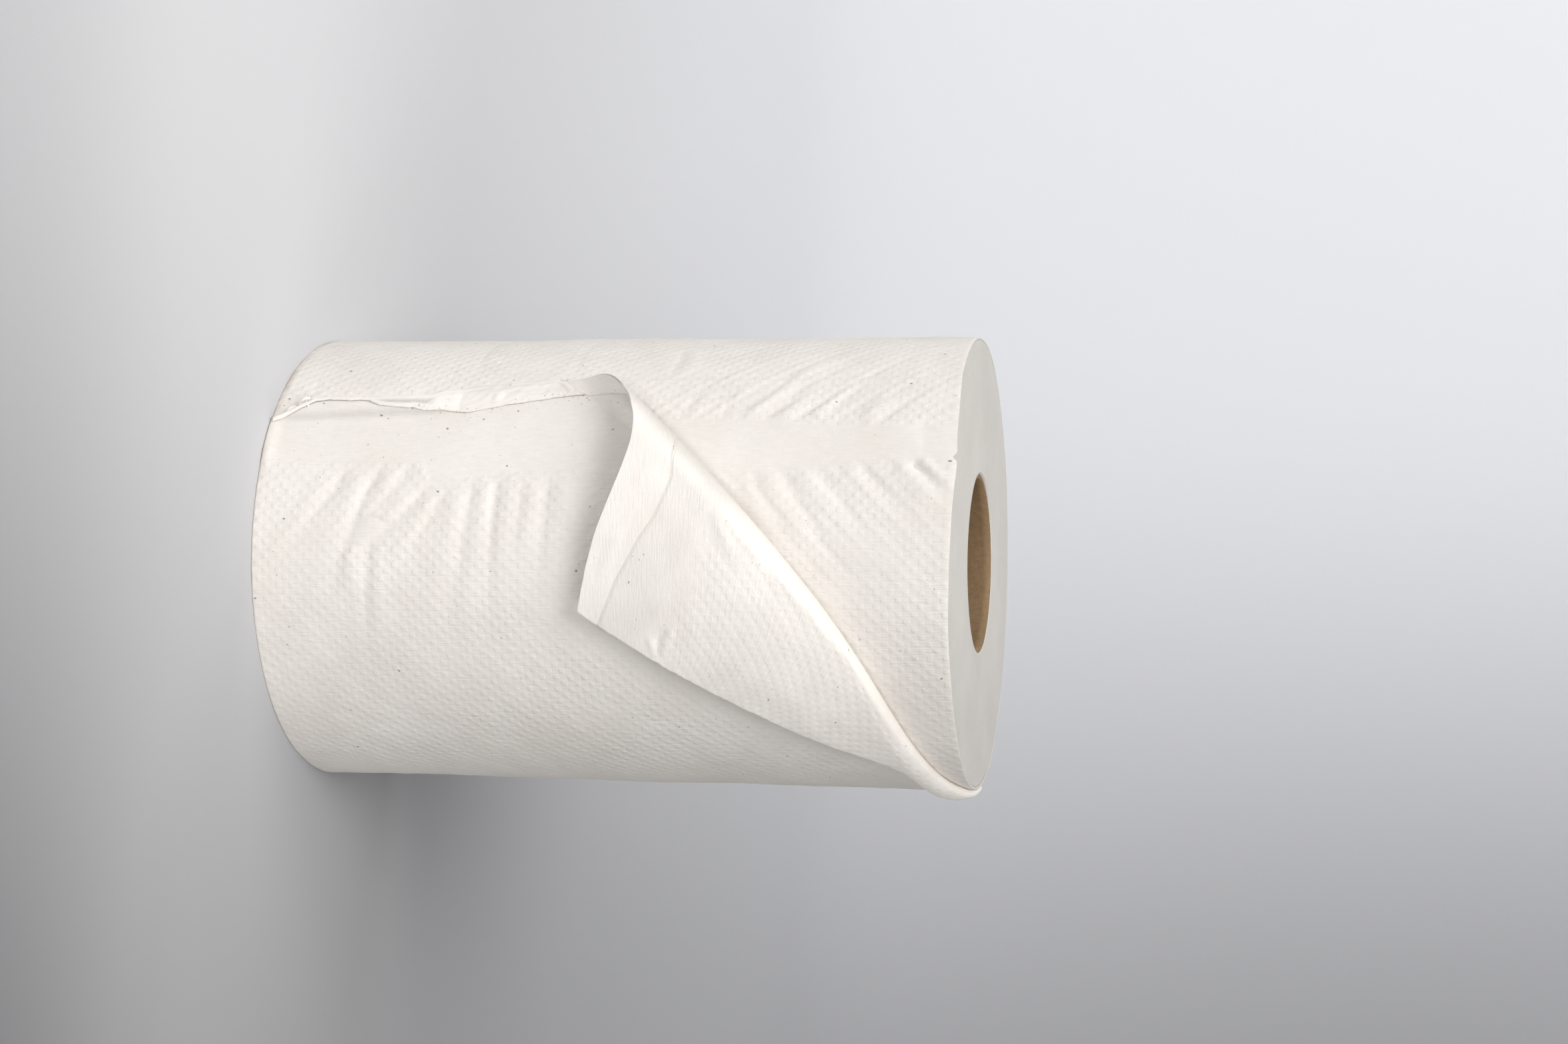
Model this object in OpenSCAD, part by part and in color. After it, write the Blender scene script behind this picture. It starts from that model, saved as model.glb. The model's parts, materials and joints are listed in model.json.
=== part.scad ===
// Paper towel roll: a hard-wound roll of embossed paper on a cardboard core, standing on its end.
// The loose tail of the outer sheet is torn and hemmed, and its top corner is folded down over the roll.
// Millimetres, +Z up along the axis. The origin is on the axis, in the plane that the roll stands on.
// Places on the paper are given on the unrolled sheet as [s, z, h]: s is the way round the roll from the
// front (-Y), positive towards +X, z is the height, and h is the height off the roll's surface.

/* [Roll] */
// Height of the roll, along its axis
roll_h = 203; // [180:1:280]
// Outside diameter of the wound roll
roll_d = 135.3; // [115:0.1:190]
// Thickness of one embossed sheet
sheet_t = 0.3; // [0.2:0.05:0.5]
// Distance between the turns that show on the end faces
turn_pitch = 3.4; // [2.5:0.1:6]
// Width of a turn's line on the end faces
turn_w = 0.5; // [0.3:0.05:0.8]
// Depth of a turn's line on the end faces
turn_depth = 0.2; // [0.1:0.05:0.4]

/* [Core] */
// Bore of the core tube
core_bore = 50.8; // [30:0.1:76]
// Wall of the core tube
core_wall = 1.4; // [0.8:0.1:3]
// How far the core stops below the roll's top face
core_recess = 1; // [0.5:0.1:4]
// Width of the torn notch in the core's top rim
notch_w = 6; // [3:0.5:10]
// Depth of the torn notch in the core's top rim
notch_depth = 3; // [1:0.5:8]
// Angle of the notch round the core, from the front towards +X
notch_angle = 84; // [0:1:359]

/* [Folded corner] */
// Radius of the curl's outer turn at the torn tail
curl_r_tail = 6.8; // [4:0.1:9]
// Radius of the curl's outer turn at the sheet's slit edge
curl_r_slit = 2.1; // [1.2:0.1:3]
// How much wider the curl opens at the tail, behind its outer turn
curl_open = 1.3; // [1:0.05:2]
// Height of the flap's free edge off the roll
edge_lift = 2; // [0.8:0.1:4]
// Steepest slope of the flap behind the curl, in degrees
land_max = 17; // [10:1:25]
// The flap's corner on the roll: way round from the front
corner_s = 13.2; // [5:0.1:20]
// The flap's corner on the roll: distance below the top
corner_drop = 106.1; // [95:0.1:115]
// Where the slit edge comes out of the fold: way round from the front
slit_s = 68.1; // [60:0.1:75]
// Where the slit edge comes out of the fold: distance below the top
slit_drop = 15.9; // [10:0.1:22]

/* [Torn hem] */
// Height of the torn hem off the roll at its thickest
hem_lift = 1.6; // [0.8:0.1:2.5]

/* [Hidden] */
$fn = 144;
paper_colour = "#ece8e2";
board_colour = "#8f7250";

roll_r = roll_d / 2;
core_od = core_bore + 2 * core_wall;
core_h = roll_h - core_recess;
// The tail's furthest place to the left, where the outer sheet starts
seam_s = -62.5;
seam_angle = seam_s / roll_r * 180 / PI - 90;
// Overlap of one sheet into the next, where the two are the same web
weld = sheet_t;

// The fold's crest on the unrolled sheet, as the four points of a curve: [s, distance below the top]
fold_from_top = [[-64.4, 112.3], [23.6, 13.1], [17.1, 27.4], [104.2, -3.3]];
fold = [for (p = fold_from_top) [p[0], roll_h - p[1]]];
// The flap's slit edge runs from its corner to the fold
flap_corner = [corner_s, roll_h - corner_drop];
slit_on_flap = [slit_s, roll_h - slit_drop];
// The torn tail: length of the sheet from the foot of the fold, at even steps along the fold
tail_runs = [1, 8.2, 12.5, 16.1, 23.5, 46.6, 61.6, 74.5];
tail_step = 0.03;
// Angle of the curl's outer turn, before it opens
turn_angle = 115;
// Shares of the fold's length: where the folded sheet ends, and where its edge starts to run out
fold_end = 0.955;
curl_until = 0.94;
// Rows of the folded sheet: along the fold, closer at the tail, and across it, closer in the curl
fold_rows = 44;
row_ease = 1.4;
fold_cols = 20;
col_ease = 1.4;
// Root of the folded sheet in the turns below: its depth, and its reach as a share of the curl's radius
root_depth = 1;
root_reach = 0.6;

// Depth of the bared turn: it swells a little where the outer sheet no longer presses on it
bared_depth = 0.8 * sheet_t;
// Distance from the folded sheet's foot to the edge of the opening that it leaves in the outer sheet
peel_step = 1.2;

// Distance from the hem's upper end to the foot of the fold
hem_gap = 2;
// The hem from the bottom up: [share of its height, left edge, right edge, share of hem_lift]
hem_stations = [
  [0.02, -45, -42, 0.4],
  [0.08, -48.5, -45.5, 0.5],
  [0.17, -50.5, -47.5, 0.5],
  [0.24, -51.6, -49.2, 0.5],
  [0.48, -51.8, -48.6, 0.55],
  [0.58, -52.8, -47.8, 0.65],
  [0.67, -55.8, -46.6, 0.75],
  [0.79, -57.6, -47.8, 0.8],
  [0.9, -59, -50.6, 0.9],
  [1, -60.6, -53.4, 1],
];
hem_h = foot(0)[1] - hem_gap;
hem_cols = 8;
// How deep the hem's edges and underside lie in the sheet below
hem_edge = 0.1;
hem_foot = 0.6;
// How far a cutting solid passes the surface that it cuts
overcut = 2;

function unit(v) = v / norm(v);
function cross_2d(a, b) = a[0] * b[1] - a[1] * b[0];
// Distance from point o along direction d to the line through a and b
function reach(o, d, a, b) = cross_2d(a - o, b - a) / cross_2d(d, b - a);
// A place on the unrolled sheet, wound onto the roll
function on_roll(p) =
  let (angle = p[0] / roll_r * 180 / PI, r = roll_r + p[2]) [r * sin(angle), -r * cos(angle), p[1]];
function curve(p, u) =
  pow(1 - u, 3) * p[0] + 3 * pow(1 - u, 2) * u * p[1] + 3 * (1 - u) * u * u * p[2] + pow(u, 3) * p[3];
function curve_slope(p, u) =
  pow(1 - u, 2) * (p[1] - p[0]) + 2 * (1 - u) * u * (p[2] - p[1]) + u * u * (p[3] - p[2]);

// The direction across the fold, away from the flap
function across_fold(u) = let (d = unit(curve_slope(fold, u))) [-d[1], d[0]];
function share_at_tail(u) = pow(1 - u, 2);
function curl_r(u) = curl_r_slit + (curl_r_tail - curl_r_slit) * share_at_tail(u);
function open_r(u) = curl_r(u) * (1 + (curl_open - 1) * share_at_tail(u));
// Where the sheet leaves the roll
function foot(u) = curve(fold, u) - curl_r(u) * across_fold(u);
// Width of the flap from the fold's crest to its slit edge
function flap_w(u) = reach(curve(fold, u), -across_fold(u), flap_corner, slit_on_flap);
// Height of the curl, and how far it reaches over the roll at the angle a, from the foot of the fold
function curl_h(u, a) = curl_r(u) * (1 - cos(turn_angle)) + open_r(u) * (cos(turn_angle) - cos(a));
function curl_x(u, a) = curl_r(u) * sin(turn_angle) + open_r(u) * (sin(a) - sin(turn_angle));
// Slope at which the flap comes down from the curl to rest near the roll
function land(u) =
  let (flat = flap_w(u) - curl_r(u) + curl_x(u, 180))
  min(land_max, atan2(max(curl_h(u, 180) - edge_lift, 0), max(flat, 1)));
function turn_len(u) = curl_r(u) * turn_angle * PI / 180;
function curl_len(u) = turn_len(u) + open_r(u) * (180 + land(u) - turn_angle) * PI / 180;
// Length of the sheet from the foot to the slit edge, and to the torn tail on a smooth curve through its steps
function slit_len(u) =
  let (flat = max(0, flap_w(u) - curl_r(u) + curl_x(u, 180 + land(u))) / cos(land(u)))
  (curl_len(u) + flat) * min(1, (1 - u) / (1 - curl_until));
function tail_len(u) =
  let (
    last = len(tail_runs) - 1,
    x = min(u / tail_step, last),
    i = min(floor(x), last - 1),
    f = x - i,
    a = tail_runs[max(i - 1, 0)],
    b = tail_runs[i],
    c = tail_runs[i + 1],
    d = tail_runs[min(i + 2, last)]
  ) b + f / 2 * (c - a + f * (2 * a - 5 * b + 4 * c - d + f * (3 * (b - c) + d - a)));
function sheet_len(u) = min(slit_len(u), tail_len(u));

// A point of the folded sheet: u along the fold, v from the foot to the free edge, side off its middle
function folded_point(u, v, side) =
  let (
    r = curl_r(u),
    run = sheet_len(u) * pow(v, col_ease),
    turned = min(run, turn_len(u)) / r * 180 / PI,
    opened = max(0, min(run, curl_len(u)) - turn_len(u)) / open_r(u) * 180 / PI,
    angle = turned + opened,
    flat = max(0, run - curl_len(u)),
    sink = weld * pow(max(0, 1 - run / r), 2) + (side < 0 ? root_depth * max(0, 1 - run / (root_reach * r)) : 0),
    x = opened > 0 ? curl_x(u, angle) : r * sin(angle),
    up = opened > 0 ? curl_h(u, angle) : r * (1 - cos(angle)),
    across = x - flat * cos(land(u)) - side * sin(angle),
    h = up - flat * sin(land(u)) - sink + side * cos(angle),
    p = curve(fold, u) + (across - r) * across_fold(u)
  ) on_roll([p[0], p[1], h]);

function folded_grid(side) = [
  for (i = [0:fold_rows]) let (u = fold_end * pow(i / fold_rows, row_ease))
    [for (j = [0:fold_cols]) folded_point(u, j / fold_cols, side)]
];

// A solid between two like grids of points: the outer skin and the inner one
module thick_sheet(outer, inner) {
  rows = len(outer);
  cols = len(outer[0]);
  count = rows * cols;
  points = [for (grid = [outer, inner]) for (row = grid) each row];
  // Grid points round the rim, in order
  rim = [
    for (j = [0:cols - 1]) j,
    for (i = [1:rows - 1]) i * cols + cols - 1,
    for (j = [cols - 2:-1:0]) (rows - 1) * cols + j,
    for (i = [rows - 2:-1:1]) i * cols,
  ];
  skin = [
    for (i = [0:rows - 2]) for (j = [0:cols - 2]) let (a = i * cols + j, b = a + cols)
      each [[a, a + 1, b + 1], [a, b + 1, b]]
  ];
  edge = [
    for (k = [0:len(rim) - 1]) let (a = rim[k], b = rim[(k + 1) % len(rim)])
      each [[a, a + count, b + count], [a, b + count, b]]
  ];
  back = [for (f = skin) [f[2] + count, f[1] + count, f[0] + count]];
  polyhedron(points, concat(skin, edge, back), convexity = 6);
}

// One half turn of a winding, from the bottom to the top of the roll
module half_turn(r) {
  rotate_extrude(angle = 180) square([r, roll_h]);
}

// A line ploughed along one half turn of the winding, on an end face
module turn_line(r, z) {
  rotate_extrude(angle = 180) translate([r, z])
    polygon([[-turn_w / 2, 0], [0, turn_depth], [turn_w / 2, 0], [0, -turn_depth]]);
}

// The turns on both end faces: half turns about two centres, which join into a spiral
module turn_lines() {
  first = core_od / 2 + turn_pitch;
  for (z = [0, roll_h]) for (r = [first:turn_pitch:roll_r - turn_pitch]) {
    turn_line(r, z);
    translate([-turn_pitch / 2, 0, 0]) rotate(180) turn_line(r - turn_pitch / 2, z);
  }
}

// A window in the outer sheet, through stations of [s, lowest z, highest z]
module skin_window(stations) {
  thick_sheet(
    [for (w = stations) [on_roll([w[0], w[1], overcut]), on_roll([w[0], w[2], overcut])]],
    [for (w = stations) [on_roll([w[0], w[1], -overcut]), on_roll([w[0], w[2], -overcut])]]
  );
}

// What the folded corner lays bare: the outer sheet is missing above the fold
module peeled_window() {
  steps = [for (i = [0:fold_rows]) let (u = fold_end * i / fold_rows) foot(u) + peel_step * across_fold(u)];
  skin_window(concat(
    [[seam_s - overcut, foot(0)[1], roll_h + overcut]],
    [for (p = steps) if (p[0] > seam_s) [p[0], p[1], roll_h + overcut]]
  ));
}

// What the torn tail lays bare: the outer sheet is missing to the left of the hem
module tail_window() {
  skin_window(concat(
    [[seam_s - overcut, -overcut, foot(0)[1] + overcut]],
    [for (i = [len(hem_stations) - 1:-1:0]) let (q = hem_stations[i]) [q[1] + 1, -overcut, q[0] * hem_h]]
  ));
}

// The layer of the roll's outer skin that the loose sheet leaves open
module outer_skin() {
  difference() {
    translate([0, 0, -2 * overcut]) cylinder(r = roll_r + overcut / 2, h = roll_h + 4 * overcut);
    translate([0, 0, -3 * overcut]) cylinder(r = roll_r - bared_depth, h = roll_h + 6 * overcut);
  }
}

// The wound turns: the outer half turn with its windows, and the half turn below it
module winding() {
  difference() {
    rotate(seam_angle) half_turn(roll_r);
    intersection() {
      outer_skin();
      peeled_window();
    }
    intersection() {
      outer_skin();
      tail_window();
    }
  }
  rotate(seam_angle) translate([-sheet_t / 2, 0, 0]) rotate(180) half_turn(roll_r - sheet_t / 2);
}

// The corner of the outer sheet, curled over and laid back on the roll
module folded_corner() {
  thick_sheet(folded_grid(sheet_t / 2), folded_grid(-sheet_t / 2));
}

// The torn edge of the tail, folded back on itself as a narrow raised strip
module torn_hem() {
  thick_sheet(
    [for (q = hem_stations) [
      for (k = [0:hem_cols]) on_roll([
        q[1] + (q[2] - q[1]) * k / hem_cols,
        q[0] * hem_h,
        q[3] * hem_lift * sin(180 * k / hem_cols) - hem_edge,
      ])
    ]],
    [for (q = hem_stations) [
      for (k = [0:hem_cols]) on_roll([q[1] + (q[2] - q[1]) * k / hem_cols, q[0] * hem_h, -hem_foot])
    ]]
  );
}

// The whole web of paper: the turns, the torn hem and the folded corner are one sheet
module paper_roll() {
  color(paper_colour) {
    difference() {
      winding();
      rotate(seam_angle) turn_lines();
      translate([0, 0, -overcut]) cylinder(d = core_od, h = roll_h + 2 * overcut);
    }
    torn_hem();
    folded_corner();
  }
}

// The cardboard tube that the paper is wound on, with a torn notch in its top rim
module core_tube() {
  color(board_colour) difference() {
    cylinder(d = core_od, h = core_h);
    translate([0, 0, -overcut]) cylinder(d = core_bore, h = core_h + 2 * overcut);
    rotate(notch_angle) translate([0, -core_bore / 2, core_h]) rotate([90, 0, 0])
      translate([0, 0, -overcut]) linear_extrude(core_wall + 2 * overcut)
        polygon([
          [-notch_w / 2, overcut], [-notch_w / 2, 0], [notch_w / 8, -notch_depth], [notch_w / 2, 0], [notch_w / 2, overcut],
        ]);
  }
}

paper_roll();
core_tube();
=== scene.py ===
# %% [markdown]
# # A roll of paper towel, standing on its end
#
# The real object is one very long sheet of creped, embossed paper, wound hard on a brown board core.
# Nearly all of its look comes from that sheet: the fine crepe lines, the embossed dots, the wrinkles by
# the glue strip, the torn tail with its folded hem, and the top corner that is curled over and laid back.
# The packed model gives the sizes and the place, so every piece here is made where it stays.

# %% The frame and its sizes
import json
import math

import bpy
import numpy as np
from mathutils import Matrix, Vector


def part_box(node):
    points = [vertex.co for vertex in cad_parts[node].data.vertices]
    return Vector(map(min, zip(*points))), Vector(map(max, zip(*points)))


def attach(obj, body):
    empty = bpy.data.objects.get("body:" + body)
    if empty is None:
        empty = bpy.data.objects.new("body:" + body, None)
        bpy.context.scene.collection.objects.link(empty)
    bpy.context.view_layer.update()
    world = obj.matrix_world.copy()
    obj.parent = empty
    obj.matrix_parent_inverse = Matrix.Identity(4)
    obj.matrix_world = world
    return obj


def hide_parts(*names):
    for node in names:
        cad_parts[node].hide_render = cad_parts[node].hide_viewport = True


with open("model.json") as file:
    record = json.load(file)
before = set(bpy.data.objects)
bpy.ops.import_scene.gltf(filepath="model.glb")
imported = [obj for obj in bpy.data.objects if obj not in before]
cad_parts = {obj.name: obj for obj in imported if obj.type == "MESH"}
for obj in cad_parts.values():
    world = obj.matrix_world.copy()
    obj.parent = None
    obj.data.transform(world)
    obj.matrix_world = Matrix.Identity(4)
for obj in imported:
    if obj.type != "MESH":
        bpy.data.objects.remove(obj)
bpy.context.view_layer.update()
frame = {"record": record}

MM = 0.001
paper_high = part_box("paper_roll")[1]
core_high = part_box("core_tube")[1]
mounts = {m["name"]: m for m in frame["record"]["mounts"]}

ROLL_H = round(paper_high[2] / MM, 1)
# The back of the roll carries no fold, so its distance from the axis is the roll's radius.
ROLL_R = paper_high[1] / MM
CORE_R = mounts["core_bore"]["dims"]["r_mm"]
CORE_OUT = core_high[0] / MM
CORE_H = core_high[2] / MM
SHEET_T = 0.3
AROUND = 2 * math.pi * ROLL_R
print("roll", ROLL_H, "high,", round(2 * ROLL_R, 1), "across, core bore", 2 * CORE_R, "mm")

# %% [markdown]
# ## The camera
#
# The photograph is turned a quarter turn, so the roll's top points to the right of the picture. The camera
# is turned the same way: its own X axis is the direction that is up in the upright view. The lens comes
# from a fit of the roll's two end ellipses.

# %% Camera
EYE = Vector((0, -749.6, 303.3)) * MM
LOOK = Vector((-0.015525, 0.977764, -0.209131))
PICTURE_RIGHT = Vector((-0.011178, 0.208974, 0.977857))
LENS = 57.98

camera = bpy.data.objects.new("camera", bpy.data.cameras.new("camera"))
camera.data.lens = LENS
camera.data.sensor_width = 36
camera.data.clip_start = 0.01
back_axis = -LOOK.normalized()
up_axis = back_axis.cross(PICTURE_RIGHT).normalized()
right_axis = up_axis.cross(back_axis)
camera.matrix_world = Matrix.Translation(EYE) @ Matrix((right_axis, up_axis, back_axis)).transposed().to_4x4()
bpy.context.collection.objects.link(camera)
bpy.context.scene.camera = camera
bpy.context.scene.view_settings.view_transform = "Standard"
print("camera at", [round(v, 3) for v in EYE])

# %% [markdown]
# ## The unrolled sheet
#
# Everything on the paper is easiest to place on the flat web. A place is (s, z, h): s is the way round the
# roll from the front, positive to the right, z is the height, and h is the height off the roll. One function
# winds such a place onto the roll. A little smooth noise and a few shaping functions serve all the pieces.

# %% Helpers on the unrolled sheet
def on_roll(s, z, h):
    """Places on the flat web, in millimetres, wound onto the roll."""
    s, z, h = np.broadcast_arrays(s, z, h)
    angle = s / ROLL_R
    r = ROLL_R + h
    return np.stack([r * np.sin(angle), -r * np.cos(angle), z], -1)


def smooth(low, high, x):
    """0 below low, 1 above high, and a soft S between."""
    t = np.clip((x - low) / (high - low), 0, 1)
    return t * t * (3 - 2 * t)


def noise(x, y, seed):
    """Soft noise from -1 to 1 with features about one unit across."""
    lattice = np.random.RandomState(seed).uniform(-1, 1, (64, 64))
    x, y = np.broadcast_arrays(x, y)
    i, j = np.floor(x).astype(int), np.floor(y).astype(int)
    a, b = smooth(0, 1, x - i), smooth(0, 1, y - j)
    low = lattice[i % 64, j % 64] * (1 - a) + lattice[(i + 1) % 64, j % 64] * a
    high = lattice[i % 64, (j + 1) % 64] * (1 - a) + lattice[(i + 1) % 64, (j + 1) % 64] * a
    return low * (1 - b) + high * b


def along_path(s, z, path):
    """Signed distance to a path of points on the web, and the share of its length at the nearest place."""
    path = np.asarray(path, float)
    lengths = np.linalg.norm(np.diff(path, axis=0), axis=1)
    starts = np.concatenate([[0], np.cumsum(lengths)])
    best = np.full(np.shape(s), 1e9)
    side = np.zeros(np.shape(s))
    share = np.zeros(np.shape(s))
    for (a, b), length, start in zip(zip(path[:-1], path[1:]), lengths, starts):
        d = (b - a) / length
        t = np.clip((s - a[0]) * d[0] + (z - a[1]) * d[1], 0, length)
        ds, dz = s - a[0] - t * d[0], z - a[1] - t * d[1]
        gap = np.hypot(ds, dz)
        near = gap < best
        best = np.where(near, gap, best)
        side = np.where(near, np.sign(d[0] * dz - d[1] * ds), side)
        share = np.where(near, (start + t) / starts[-1], share)
    return best * side, share


print("half a turn is", round(AROUND / 2, 1), "mm of sheet")

# %% [markdown]
# ## Meshes from grids
#
# All the paper pieces are grids of points. A ring grid closes on itself in both directions, as a sleeve of
# paper does, and a thick sheet is a grid with two faces and a rim. Each face corner also keeps its place on
# the flat web as a UV map, so the crepe and the fibres follow the sheet through every fold. A finished piece
# then stands in for one of the packed solids.

# %% Grid meshes
WEB = "web"


def mesh_object(name, points, quads, web, **fields):
    """A mesh object in metres from points in millimetres, with the web's places on its corners.

    Each field is one number for each point, kept as an attribute that the paper's shader reads."""
    mesh = bpy.data.meshes.new(name)
    quads = np.asarray(quads, np.int32).reshape(-1, 4)
    mesh.vertices.add(len(points))
    mesh.vertices.foreach_set("co", (np.asarray(points, np.float64) * MM).astype(np.float32).ravel())
    mesh.loops.add(quads.size)
    mesh.loops.foreach_set("vertex_index", quads.ravel())
    mesh.polygons.add(len(quads))
    mesh.polygons.foreach_set("loop_start", np.arange(0, quads.size, 4, dtype=np.int32))
    mesh.update(calc_edges=True)
    layer = mesh.uv_layers.new(name=WEB)
    layer.uv.foreach_set("vector", (np.asarray(web).reshape(-1, 2) * MM).astype(np.float32).ravel())
    for field, values in fields.items():
        attribute = mesh.attributes.new(field, "FLOAT", "POINT")
        attribute.data.foreach_set("value", np.asarray(values, np.float32).ravel())
    mesh.polygons.foreach_set("use_smooth", np.ones(len(quads), bool))
    mesh.validate()
    piece = bpy.data.objects.new(name, mesh)
    bpy.context.collection.objects.link(piece)
    return piece


def ring_grid(rows, cols):
    """The quads of a grid that closes in both directions, counted row by row."""
    i, j = np.meshgrid(np.arange(rows), np.arange(cols), indexing="ij")
    up, on = (i + 1) % rows, (j + 1) % cols
    return np.stack([i * cols + j, i * cols + on, up * cols + on, up * cols + j], -1).reshape(-1, 4)


def open_grid(rows, cols):
    """The quads of an open grid, counted row by row."""
    i, j = np.meshgrid(np.arange(rows - 1), np.arange(cols - 1), indexing="ij")
    a = (i * cols + j).ravel()
    return np.stack([a, a + cols, a + cols + 1, a + 1], -1)


def sheet_normals(grid):
    """Unit normals of a grid of points."""
    normal = np.cross(np.gradient(grid, axis=0), np.gradient(grid, axis=1))
    return normal / (np.linalg.norm(normal, axis=-1, keepdims=True) + 1e-12)


def thick_sheet(name, middle, web, thickness, **fields):
    """A closed sheet of real thickness about a grid of points."""
    rows, cols = middle.shape[:2]
    normal = sheet_normals(middle)
    half = np.broadcast_to(np.asarray(thickness, float), (rows, cols))[..., None] / 2
    faces = [middle + normal * half, middle - normal * half]
    points = np.concatenate([face.reshape(-1, 3) for face in faces])
    count = rows * cols
    front = open_grid(rows, cols)
    rim = np.concatenate([
        np.arange(cols),
        np.arange(1, rows) * cols + cols - 1,
        (rows - 1) * cols + np.arange(cols - 2, -1, -1),
        np.arange(rows - 2, 0, -1) * cols,
    ])
    after = np.roll(rim, -1)
    edge = np.stack([rim, after, after + count, rim + count], -1)
    quads = np.concatenate([front, front[:, ::-1] + count, edge])
    flat_web = np.concatenate([web.reshape(-1, 2)] * 2)
    both = {field: np.concatenate([np.ravel(values)] * 2) for field, values in fields.items()}
    return mesh_object(name, points, quads, flat_web[quads], **both)


def stand_in(piece, node):
    """The piece rides on the roll's one body and is shown instead of a solid."""
    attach(piece, "root")
    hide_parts(node)
    print(piece.name, "has", len(piece.data.loops) - 2 * len(piece.data.polygons), "triangles")


print("a ring grid of 3 by 4 points has", len(ring_grid(3, 4)), "quads, an open one", len(open_grid(3, 4)))

# %% [markdown]
# ## Shader and node arithmetic
#
# Node trees are easier to read as sums. A Wire holds one socket of a tree, and adding or multiplying wires
# adds the Math nodes. Every other node comes from its make method, also those of the short forms below it.

# %% Wires
class Wire:
    """A socket of a node tree that takes part in Python arithmetic."""

    def __init__(self, tree, socket=None):
        self.tree = tree
        self.socket = socket

    def make(self, kind, sockets=None, out=0, **settings):
        node = self.tree.nodes.new(kind)
        for name, value in settings.items():
            setattr(node, name, value)
        for name, value in (sockets or {}).items():
            if isinstance(value, Wire):
                self.tree.links.new(value.socket, node.inputs[name])
            else:
                node.inputs[name].default_value = value
        return Wire(self.tree, node.outputs[out])

    def math(self, operation, *values):
        return self.make("ShaderNodeMath", dict(enumerate(values)), operation=operation)

    def __add__(self, other):
        return self.math("ADD", self, other)

    def __sub__(self, other):
        return self.math("SUBTRACT", self, other)

    def __mul__(self, other):
        return self.math("MULTIPLY", self, other)

    def __truediv__(self, other):
        return self.math("DIVIDE", self, other)

    def __rsub__(self, other):
        return self.math("SUBTRACT", other, self)

    def __rtruediv__(self, other):
        return self.math("DIVIDE", other, self)

    __radd__ = __add__
    __rmul__ = __mul__

    def cosine(self):
        return self.math("COSINE", self)

    def axis(self, number):
        """One number of a vector: 0, 1 and 2 are X, Y and Z."""
        return self.make("ShaderNodeSeparateXYZ", {"Vector": self}, out=number)

    def clouds(self, scale, detail, out=0, **more):
        """Noise at this place: out 0 is one value, and out 1 is three of them as a colour."""
        sockets = {"Vector": self, "Scale": scale, "Detail": detail, **more}
        return self.make("ShaderNodeTexNoise", sockets, out=out)

    def shaken(self, by, amount):
        """This place, moved by a noise colour times an amount."""
        sockets = {0: by, 1: (amount, amount, 0), 2: self}
        return self.make("ShaderNodeVectorMath", sockets, operation="MULTIPLY_ADD")

    def between(self, low, high):
        """0 below low, 1 above high, with a soft S between."""
        sockets = {"Value": self, "From Min": low, "From Max": high}
        return self.make("ShaderNodeMapRange", sockets, interpolation_type="SMOOTHSTEP")

    def blend(self, first, second):
        """A colour between two colours, at this wire's value."""
        sockets = {"Factor": self, 6: first, 7: second}
        return self.make("ShaderNodeMix", sockets, out=2, data_type="RGBA")


print("wires have", len([name for name in vars(Wire) if name.startswith("__r")]), "reflected forms")


# %% [markdown]
# ## Lines on the sheet
#
# The outer turn isn't a plain cylinder. The loose tail ends at a torn edge on the left, and above the curved
# fold one sheet is missing, so the turn below it shows. A smooth glue strip runs down each of the two. These
# lines are kept as functions of the height or of the share of the fold, because several pieces meet on them.

# %% Tail, fold and strips on the web
# The hem along the torn tail, from the bottom: height, left edge and right edge.
HEM = np.array([
    (1.0, -42.6, -41.2),
    (5.0, -44.6, -43.2),
    (9.0, -47.2, -45.6),
    (13.0, -48.9, -47.8),
    (17.0, -49.5, -48.6),
    (20.0, -49.6, -48.3),
    (30.0, -49.5, -48.0),
    (33.0, -49.6, -46.7),
    (42.0, -50.0, -46.1),
    (47.0, -50.8, -45.8),
    (49.5, -51.6, -45.7),
    (52.0, -53.4, -45.9),
    (55.0, -54.9, -45.7),
    (60.0, -56.2, -45.2),
    (66.0, -57.2, -46.8),
    (72.0, -58.1, -48.4),
    (79.0, -59.1, -49.8),
    (85.0, -59.8, -51.1),
])

# The fold's crest as the four points of a curve, and the flap's outline, as in the solid model.
FOLD = np.array([
    (-64.4, ROLL_H - 112.3),
    (23.6, ROLL_H - 13.1),
    (17.1, ROLL_H - 27.4),
    (104.2, ROLL_H + 3.3),
])
FLAP_CORNER = np.array([13.2, ROLL_H - 106.1])
SLIT_ON_FLAP = np.array([68.1, ROLL_H - 15.9])
# Length of the sheet from the fold's foot to its torn tail, at even steps along the fold.
TAIL_RUNS = np.array([1, 8.2, 12.5, 16.1, 23.5, 46.6, 61.6, 74.5])
TAIL_STEP = 0.03
# The curl's radius at the tail and at the slit edge, and how much wider it opens behind its first arc.
CURL_TAIL, CURL_SLIT, CURL_OPEN = 6.8, 1.35, 1.3
# How close to the top rim the crest starts to turn along it.
RIM_EASE = 2.5


def curve_point(u):
    """A point of the crest; close to the roll's top rim it turns to run along the rim."""
    u = np.asarray(u, float)[..., None]
    point = ((1 - u) ** 3 * FOLD[0] + 3 * (1 - u) ** 2 * u * FOLD[1]
             + 3 * (1 - u) * u ** 2 * FOLD[2] + u ** 3 * FOLD[3])
    over = np.maximum(point[..., 1] - (ROLL_H - RIM_EASE), 0)
    point[..., 1] -= over - RIM_EASE * (1 - np.exp(-over / RIM_EASE))
    return point


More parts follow.
